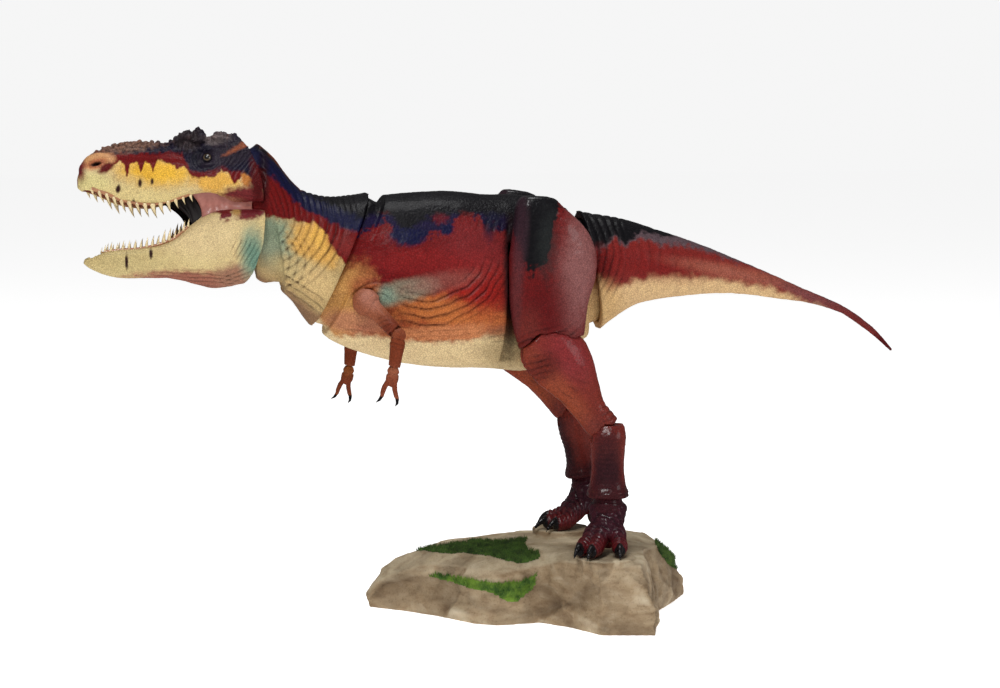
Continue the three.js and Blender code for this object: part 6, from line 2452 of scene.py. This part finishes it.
    def toes(self, place: Matrix, hide: "FootHide") -> tuple[bpy.types.Mesh, ...]:
        """Gives the instep, the toes and the claws of the foot.

        Args:
            place: The foot's frame.
            hide: The foot's hide, with the toes' sizes.

        Returns:
            Closed ellipsoids that run into one another.
        """
        beads = [
            bead(place, (1.0 - 1.6 * i, 0, -5.5 - 3.4 * i), (9.6, 12.4 - 0.7 * i, 6.5)) for i in range(5)
        ]
        beads.append(bead(place, (6.5, 0, -hide.sole + 7), (6.0, 7.0, 7.0)))
        for turn, long, out in hide.toes:
            angle = -hide.side * math.radians(turn)
            for step in range(self.TOE_STEPS):
                t = 0.12 + 0.70 * step / (self.TOE_STEPS - 1)
                radius = self.TOE_ROOT - self.TOE_TAPER * t + self.KNUCKLE * math.cos(6.4 * math.pi * t)
                reach = hide.length * long * t
                y = hide.side * hide.toe_width * out * min(1.0, 0.45 + t) - math.sin(angle) * reach
                fall = min(1.0, t / 0.62) ** 0.8
                z = -13 + (radius - hide.sole + 13) * fall
                beads.append(bead(place, (-math.cos(angle) * reach, y, z), (radius, radius * 0.92, radius)))
            last = self.CLAW_STEPS - 1
            for step in range(self.CLAW_STEPS):
                t = 0.78 + 0.35 * step / last
                radius = self.CLAW_ROOT * (1 - step / 8.6) ** 0.6
                reach = hide.length * long * t
                y = hide.side * hide.toe_width * out - math.sin(angle) * reach
                z = -hide.sole + 6.4 + 1.2 * math.sin(math.pi * step / last) - 5.8 * (step / last) ** 1.6
                z = max(z, -hide.sole + radius)
                beads.append(bead(place, (-math.cos(angle) * reach, y, z), (radius, radius * 0.85, radius)))
        return tuple(beads)

    def foot(self, place: Matrix, wash: HideFinish) -> None:
        """Builds the foot."""
        hide = FootHide(
            *self.labels("foot", "limb_paint"),
            LimbCanvas(place),
            [],
            paint(88, 22, 26),
            [],
            [],
            [
                Band(((-40, 20), (40, 20)), paint(58, 20, 32), soft=6, ragged=3),
                Mark((6, 14), (14, 8), paint(50, 18, 30), soft=0.6, strength=0.7),
            ],
            voxel=0.45,
            polish=5,
            seed=19,
            rugged=0.2,
            pebble=1.4,
            pebble_height=0.08,
            also=(self.names("ankle_pin"),),
            place=place,
            side=-1 if self.side == "left" else 1,
            solid=False,
            finish=wash,
        )
        hide.fillers = self.toes(place, hide)
        hide.build()

    def ankle_skin(self, place: Matrix, wash: HideFinish) -> None:
        """Builds the short sleeve of skin under the cuff.

        Args:
            place: The foot's frame.
            wash: The leg's finish.
        """
        sides, name = self.SLEEVE_SIDES, self.names("ankle_skin")
        rings = []
        for step in range(self.SLEEVE_ROWS + 1):
            t = step / self.SLEEVE_ROWS
            swell = 1 + 0.10 * math.sin(math.pi * t) + 0.03 * math.sin(6 * math.pi * t)
            for k in range(sides):
                angle = 2 * math.pi * k / sides
                x = math.cos(angle) * (8.6 + 1.6 * t) * swell + 0.6
                y = math.sin(angle) * (8.2 + 1.4 * t) * swell
                rings.append((x, y, self.SLEEVE_TOP - self.SLEEVE_LENGTH * t))
        faces = [
            (
                r * sides + k, (r + 1) * sides + k, (r + 1) * sides + (k + 1) % sides,
                r * sides + (k + 1) % sides,
            )
            for r in range(self.SLEEVE_ROWS)
            for k in range(sides)
        ]
        sleeve = link(name, mesh_from(name, to_world(np.array(rings) * MM, place), faces))
        thick = sleeve.modifiers.new("thickness", "SOLIDIFY")
        thick.thickness = 0.8 * MM
        settled(sleeve)
        mesh = sleeve.data
        count = len(mesh.vertices)
        put_attribute(mesh, "coat", np.tile(np.array(paint(60, 20, 28)), (count, 1)))
        put_attribute(mesh, "crease", np.full(count, 0.1))
        put_attribute(mesh, "shine", np.zeros(count))
        mesh.materials.append(wash.make())
        smooth(mesh)
        self.names("metatarsus")
        self.names("foot")
        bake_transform(sleeve)
        LOG.info("%s: %d faces", name, len(mesh.polygons))

    def build(self) -> None:
        """Builds the leg."""
        frames = self.frames()
        wash = HideFinish(f"{self.side}_leg_hide_paint", scale=1.3, relief=0.34, roughness=0.3, sheen=0.3)
        self.thigh(frames["thigh"], wash)
        self.shin(frames["shin"], wash)
        self.metatarsus(frames["metatarsus"], wash)
        self.foot(frames["foot"], wash)
        self.ankle_skin(frames["foot"], wash)


@dataclass
class Arm(Limb):
    """One arm, from the shoulder to the claws."""

    def build(self) -> None:
        """Builds the arm."""
        shoulder = pivot(self.names("shoulder_swing"))
        elbow = pivot(self.names("elbow_flex"))
        wrist = pivot(self.names("wrist_flex"))
        bend = Vector(joint(self.names("elbow_flex"))["axis"])
        swing = (shoulder - elbow).normalized()
        level = Vector(joint(self.names("shoulder_raise"))["axis"]).cross(swing)
        level = level if level.y > 0 else -level
        tone = paint(146, 84, 58) if self.side == "left" else paint(146, 84, 44)
        wash = HideFinish(f"{self.side}_arm_hide_paint", scale=0.95, relief=0.24)
        upper = axes(shoulder, level, elbow)
        fore = axes(elbow, bend, wrist)
        palm = axes(wrist, bend, wrist + (wrist - elbow))
        Hide(
            *self.labels("upper_arm", "arm_paint"),
            LimbCanvas(upper),
            [],
            tone,
            [Fold((4, 20), (7, 10), 2.8, 0.7, 30, seed=71), Fold((-2, 6), (9, 5), 3.4, 0.5, -20, seed=73)],
            [],
            [
                Mark((0, 26), (9, 9), paint(112, 50, 32), soft=0.7),
                Mark((-4, 2), (6, 8), paint(170, 112, 92), soft=0.7),
            ],
            voxel=0.45,
            polish=7,
            rugged=0.15,
            pebble=1.3,
            pebble_height=0.08,
            seed=20,
            finish=wash,
        ).build()
        Hide(
            *self.labels("forearm", "arm_paint"),
            LimbCanvas(fore),
            [],
            tone,
            [Fold((0, 5), (7, 6), 2.6, 0.6, 10, seed=72)],
            [],
            [Mark((0, 9), (9, 13), paint(120, 54, 30), soft=0.7)],
            voxel=0.42,
            polish=6,
            rugged=0.1,
            pebble=1.2,
            pebble_height=0.08,
            seed=21,
            also=(self.names("elbow_pin"),),
            finish=wash,
        ).build()
        HandHide(
            *self.labels("hand", "arm_paint"),
            LimbCanvas(palm),
            [],
            tone,
            [],
            [],
            [Mark((0, 10), (12, 7), paint(124, 60, 38), soft=0.7)],
            voxel=0.38,
            polish=4,
            rugged=0.08,
            pebble=1.1,
            pebble_height=0.06,
            seed=22,
            also=(self.names("wrist_pin"),),
            finish=wash,
        ).build()


class HandHide(Hide):
    """Hide of a hand, with glossy claws."""

    def shine(self, rest: Points) -> Points:
        """Finds the claws."""
        _, down = self.canvas.spread(rest)
        return ease(down, 15.2, 16.4)


@dataclass
class Display:
    """The rock with its moss. Sizes are in metres, the ragged edge in picture points."""

    slab: float = 0.036
    chip: float = 0.012
    swell: float = 0.034
    side_level: tuple[float, float] = (0.0015, 0.006)
    pad_level: tuple[float, float] = (0.0425, 0.0455)
    box_margin: float = 0.0003
    flock_lift: float = 0.00035
    ragged_edge: float = 1.5

    def rock(self) -> bpy.types.Object:
        """Builds the rock."""
        piece = remeshed(("rock_base",), "display_rock_stone", 1.15, 3)
        mesh = piece.data
        points = corners(mesh)
        grain = Grain(90)
        normals = facings(mesh)
        side = ease(points[:, 2], *self.side_level)
        upward = ease(normals[:, 2], 0.35, 0.8)
        warped = points + grain.layered(points, 0.02, 2)[:, None] * 0.0012
        slabs, ledge = grain.chips(warped * np.array([1, 1, 1.5]), self.slab)
        chips, edge = Grain(91).chips(warped * np.array([1, 1, 1.6]), self.chip)
        broad = grain.layered(points, self.swell, 3)
        lift = slabs * 4.6 + chips * 1.1 + broad * 2.0 - 1.0
        calm = 1 - upward * 0.72
        pads = ease(points[:, 2], *self.pad_level)
        moved = points + normals * (lift * side * calm * (1 - pads) * MM)[:, None]
        near, far = CAD_BOX[0][1] + self.box_margin, CAD_BOX[1][1] - self.box_margin
        moved[:, 1] = np.clip(moved[:, 1], near, far)
        put_corners(mesh, moved)
        crease = np.clip(ledge * 0.16 + edge * 0.10 - lift * 0.14 - 0.05, -1, 1)
        put_attribute(mesh, "crease", crease)
        fine = grain.layered(points + 0.3, 0.011, 3)[:, None]
        # paler on the faces that point up
        flank, upward_tone = np.array(paint(166, 146, 116)), np.array(paint(186, 172, 144))
        tone = flank * (1 - upward[:, None]) + upward_tone * upward[:, None]
        brown = np.array(paint(142, 118, 88))
        share = np.clip(0.35 - broad * 0.5, 0, 0.75)[:, None] * (1 - upward[:, None] * 0.6)
        put_attribute(mesh, "coat", (tone * (1 - share) + brown * share) * (1 + fine * 0.12))
        mesh.materials.append(StoneFinish().make())
        smooth(mesh)
        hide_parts("rock_base")
        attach(piece, "display_rock")
        LOG.info("display rock: %d faces", len(mesh.polygons))
        return piece

    def patch(
        self, node: str, rock: bpy.types.Mesh, outline: tuple[tuple[float, float], ...]
    ) -> bpy.types.Object:
        """Copies the part of the rock's surface that one mat covers.

        Args:
            node: The mat's node.
            rock: The rock's mesh.
            outline: The mat's outline in the picture.

        Returns:
            The mat's thin backing.
        """
        whole = corners(rock)
        across, down = SIGHT.picture(whole + facings(rock) * 0.0004)
        noise = Grain(77).layered(whole, 5 * MM, 3)
        low = down + noise * self.ragged_edge
        inside = np.zeros(len(whole), bool)
        for (x0, y0), (x1, y1) in zip(outline, outline[1:] + outline[:1]):
            crosses = (y0 > low) != (y1 > low)
            at = x0 + (low - y0) * (x1 - x0) / (y1 - y0 if y1 != y0 else 1e-9)
            inside ^= crosses & (across + noise * 2.5 < at)
        backing = bmesh.new()
        backing.from_mesh(rock)
        backing.verts.ensure_lookup_table()
        keep = inside & (facings(rock) @ SIGHT.basis()[2] > -0.02)
        bmesh.ops.delete(backing, geom=[v for v in backing.verts if not keep[v.index]], context="VERTS")
        for vertex in backing.verts:
            vertex.co += vertex.normal * self.flock_lift
        mesh = bpy.data.meshes.new(f"{node}_flock")
        backing.to_mesh(mesh)
        backing.free()
        for name in ("coat", "crease"):
            mesh.attributes.remove(mesh.attributes[name])
        mesh.materials.clear()
        return link(f"{node}_flock", mesh)

    def moss(self, node: str, backing: bpy.types.Object, light: Colour, dark: Colour, seed: int) -> None:
        """Covers one mat of moss with short blades.

        Args:
            node: The mat's node.
            backing: The mat's backing.
            light: The blades' paler colour.
            dark: Their darker colour.
            seed: The seed of their places.
        """
        recipe = Recipe(
            f"{node}_blades", blade=2.7 * MM, radius=0.3 * MM, bend=0.9 * MM, density=3.0e6, lean=0.6,
            seed=seed,
        )
        green = MossFinish(f"{node}_green", light, dark).make()
        spots = recipe.node(
            "GeometryNodeDistributePointsOnFaces",
            None,
            {"Mesh": recipe.value(), "Density": recipe.value("density"), "Seed": recipe.value("seed")},
        )
        blade = recipe.spike(3, 2, recipe.value("radius"), recipe.value("blade"), recipe.value("bend"))
        tip = recipe.sum("MULTIPLY", recipe.chance(-1.0, 1.0, 1), recipe.value("lean"))
        roll = recipe.sum("MULTIPLY", recipe.chance(-1.0, 1.0, 2), recipe.value("lean"))
        turn = recipe.node("ShaderNodeCombineXYZ", None, {0: tip, 1: roll, 2: recipe.chance(0.0, 6.28, 3)})
        real = recipe.scatter(spots, blade, turn, recipe.chance(0.5, 1.2, 4))
        recipe.apply(backing, recipe.painted(recipe.joined(recipe.value(), real), green))
        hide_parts(node)
        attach(backing, "display_rock")
        LOG.info("%s: %d faces", node, len(backing.data.polygons))

    def build(self) -> None:
        """Builds the rock with its moss."""
        rock = self.rock().data
        back = (
            (409, 550), (428, 547), (445, 545), (462, 542), (480, 540), (500, 541), (530, 538), (524, 543),
            (528, 550), (541, 551), (540, 560), (520, 564), (505, 561), (488, 556), (470, 554), (440, 553),
        )
        front = (
            (423, 575), (438, 573), (455, 576), (476, 579), (498, 583), (518, 581), (538, 574), (537, 582),
            (530, 593), (517, 603), (507, 602), (492, 594), (470, 589), (452, 583), (434, 579),
        )
        side = ((654, 540), (663, 537), (671, 546), (680, 560), (679, 571), (669, 566), (659, 553))
        for node, outline, light, dark, seed in (
            ("moss_back", back, paint(70, 104, 34), paint(26, 52, 12), 71),
            ("moss_front", front, paint(112, 146, 44), paint(44, 82, 16), 72),
            ("moss_side", side, paint(84, 112, 44), paint(40, 68, 24), 73),
        ):
            self.moss(node, self.patch(node, rock, outline), light, dark, seed)


def dress_hidden() -> None:
    """Gives the pins, knuckles, wire and other carried-over nodes their finishes."""
    steel = SteelFinish().make()
    plastic = GlossFinish(
        "joint_plastic_moulded", (0.02, 0.02, 0.022), (0.035, 0.035, 0.04), roughness=0.45, coat=0.0
    ).make()
    for part in FRAME["record"]["subparts"]:
        node = part["node"]
        finish = {"pin_steel": steel, "joint_plastic": plastic}.get(part["material_slot"])
        if finish is not None:
            mesh = FRAME["nodes"][node].data
            mesh.materials.clear()
            mesh.materials.append(finish)


@dataclass
class Studio:
    """The pale floor and the lights."""

    floor: Colour = (0.94, 0.94, 0.94)
    half_width: float = 8.0
    sky: float = 0.14
    horizon: float = 0.92
    glow: float = 0.78
    focus: tuple[float, float, float] = (0.0, 0.0, 0.18)

    def build(self) -> None:
        """Makes the floor, the white surroundings and the lights."""
        far = self.half_width
        mesh = mesh_from(
            "floor",
            np.array([(-far, -far, 0), (far, -far, 0), (far, far, 0), (-far, far, 0)]),
            [(0, 1, 2, 3)],
        )
        finish = Finish("studio_paper")
        finish.set(Base_Color=self.floor, Roughness=0.9, Specular_IOR_Level=0.0)
        finish.set(Emission_Color=(1.0, 1.0, 1.0), Emission_Strength=self.glow)
        mesh.materials.append(finish.material)
        floor = link("floor", mesh)
        floor.visible_glossy = False
        floor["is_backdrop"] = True
        world = bpy.data.worlds.new("studio")
        world.use_nodes = True
        nodes = world.node_tree.nodes
        path = nodes.new("ShaderNodeLightPath")
        strength = nodes.new("ShaderNodeMath")
        strength.operation = "MULTIPLY_ADD"
        strength.inputs[1].default_value = self.horizon - self.sky
        strength.inputs[2].default_value = self.sky
        world.node_tree.links.new(path.outputs["Is Camera Ray"], strength.inputs[0])
        world.node_tree.links.new(strength.outputs[0], nodes["Background"].inputs[1])
        nodes["Background"].inputs[0].default_value = (1, 1, 1, 1)
        bpy.context.scene.world = world
        for name, at, size, power in (
            ("key", (-0.6, -1.2, 1.5), 0.6, 19.5),
            ("fill", (1.3, -1.3, 0.7), 0.7, 5),
            ("top", (0.0, 0.1, 1.6), 0.6, 11),
        ):
            self.light(name, at, size, power)
        bpy.context.scene.view_settings.view_transform = "Standard"

    def light(self, name: str, at: tuple[float, float, float], size: float, power: float) -> None:
        """Makes a soft light that faces the figure."""
        data = bpy.data.lights.new(name, "AREA")
        data.shape = "DISK"
        data.size = size
        data.energy = power
        lamp = bpy.data.objects.new(name, data)
        lamp.location = at
        lamp.rotation_euler = (Vector(at) - Vector(self.focus)).to_track_quat("Z", "Y").to_euler()
        bpy.context.scene.collection.objects.link(lamp)


def main() -> None:
    """Builds the figure in order."""
    logging.basicConfig(level=logging.INFO, format="%(name)s %(message)s")
    SIGHT.camera()
    Studio().build()
    dress_hidden()
    Trunk().build()
    Neck().build()
    Tail().build()
    Head().build()
    for side in ("left", "right"):
        Leg(side).build()
        Arm(side).build()
    Display().build()


if __name__ == "__main__":
    main()
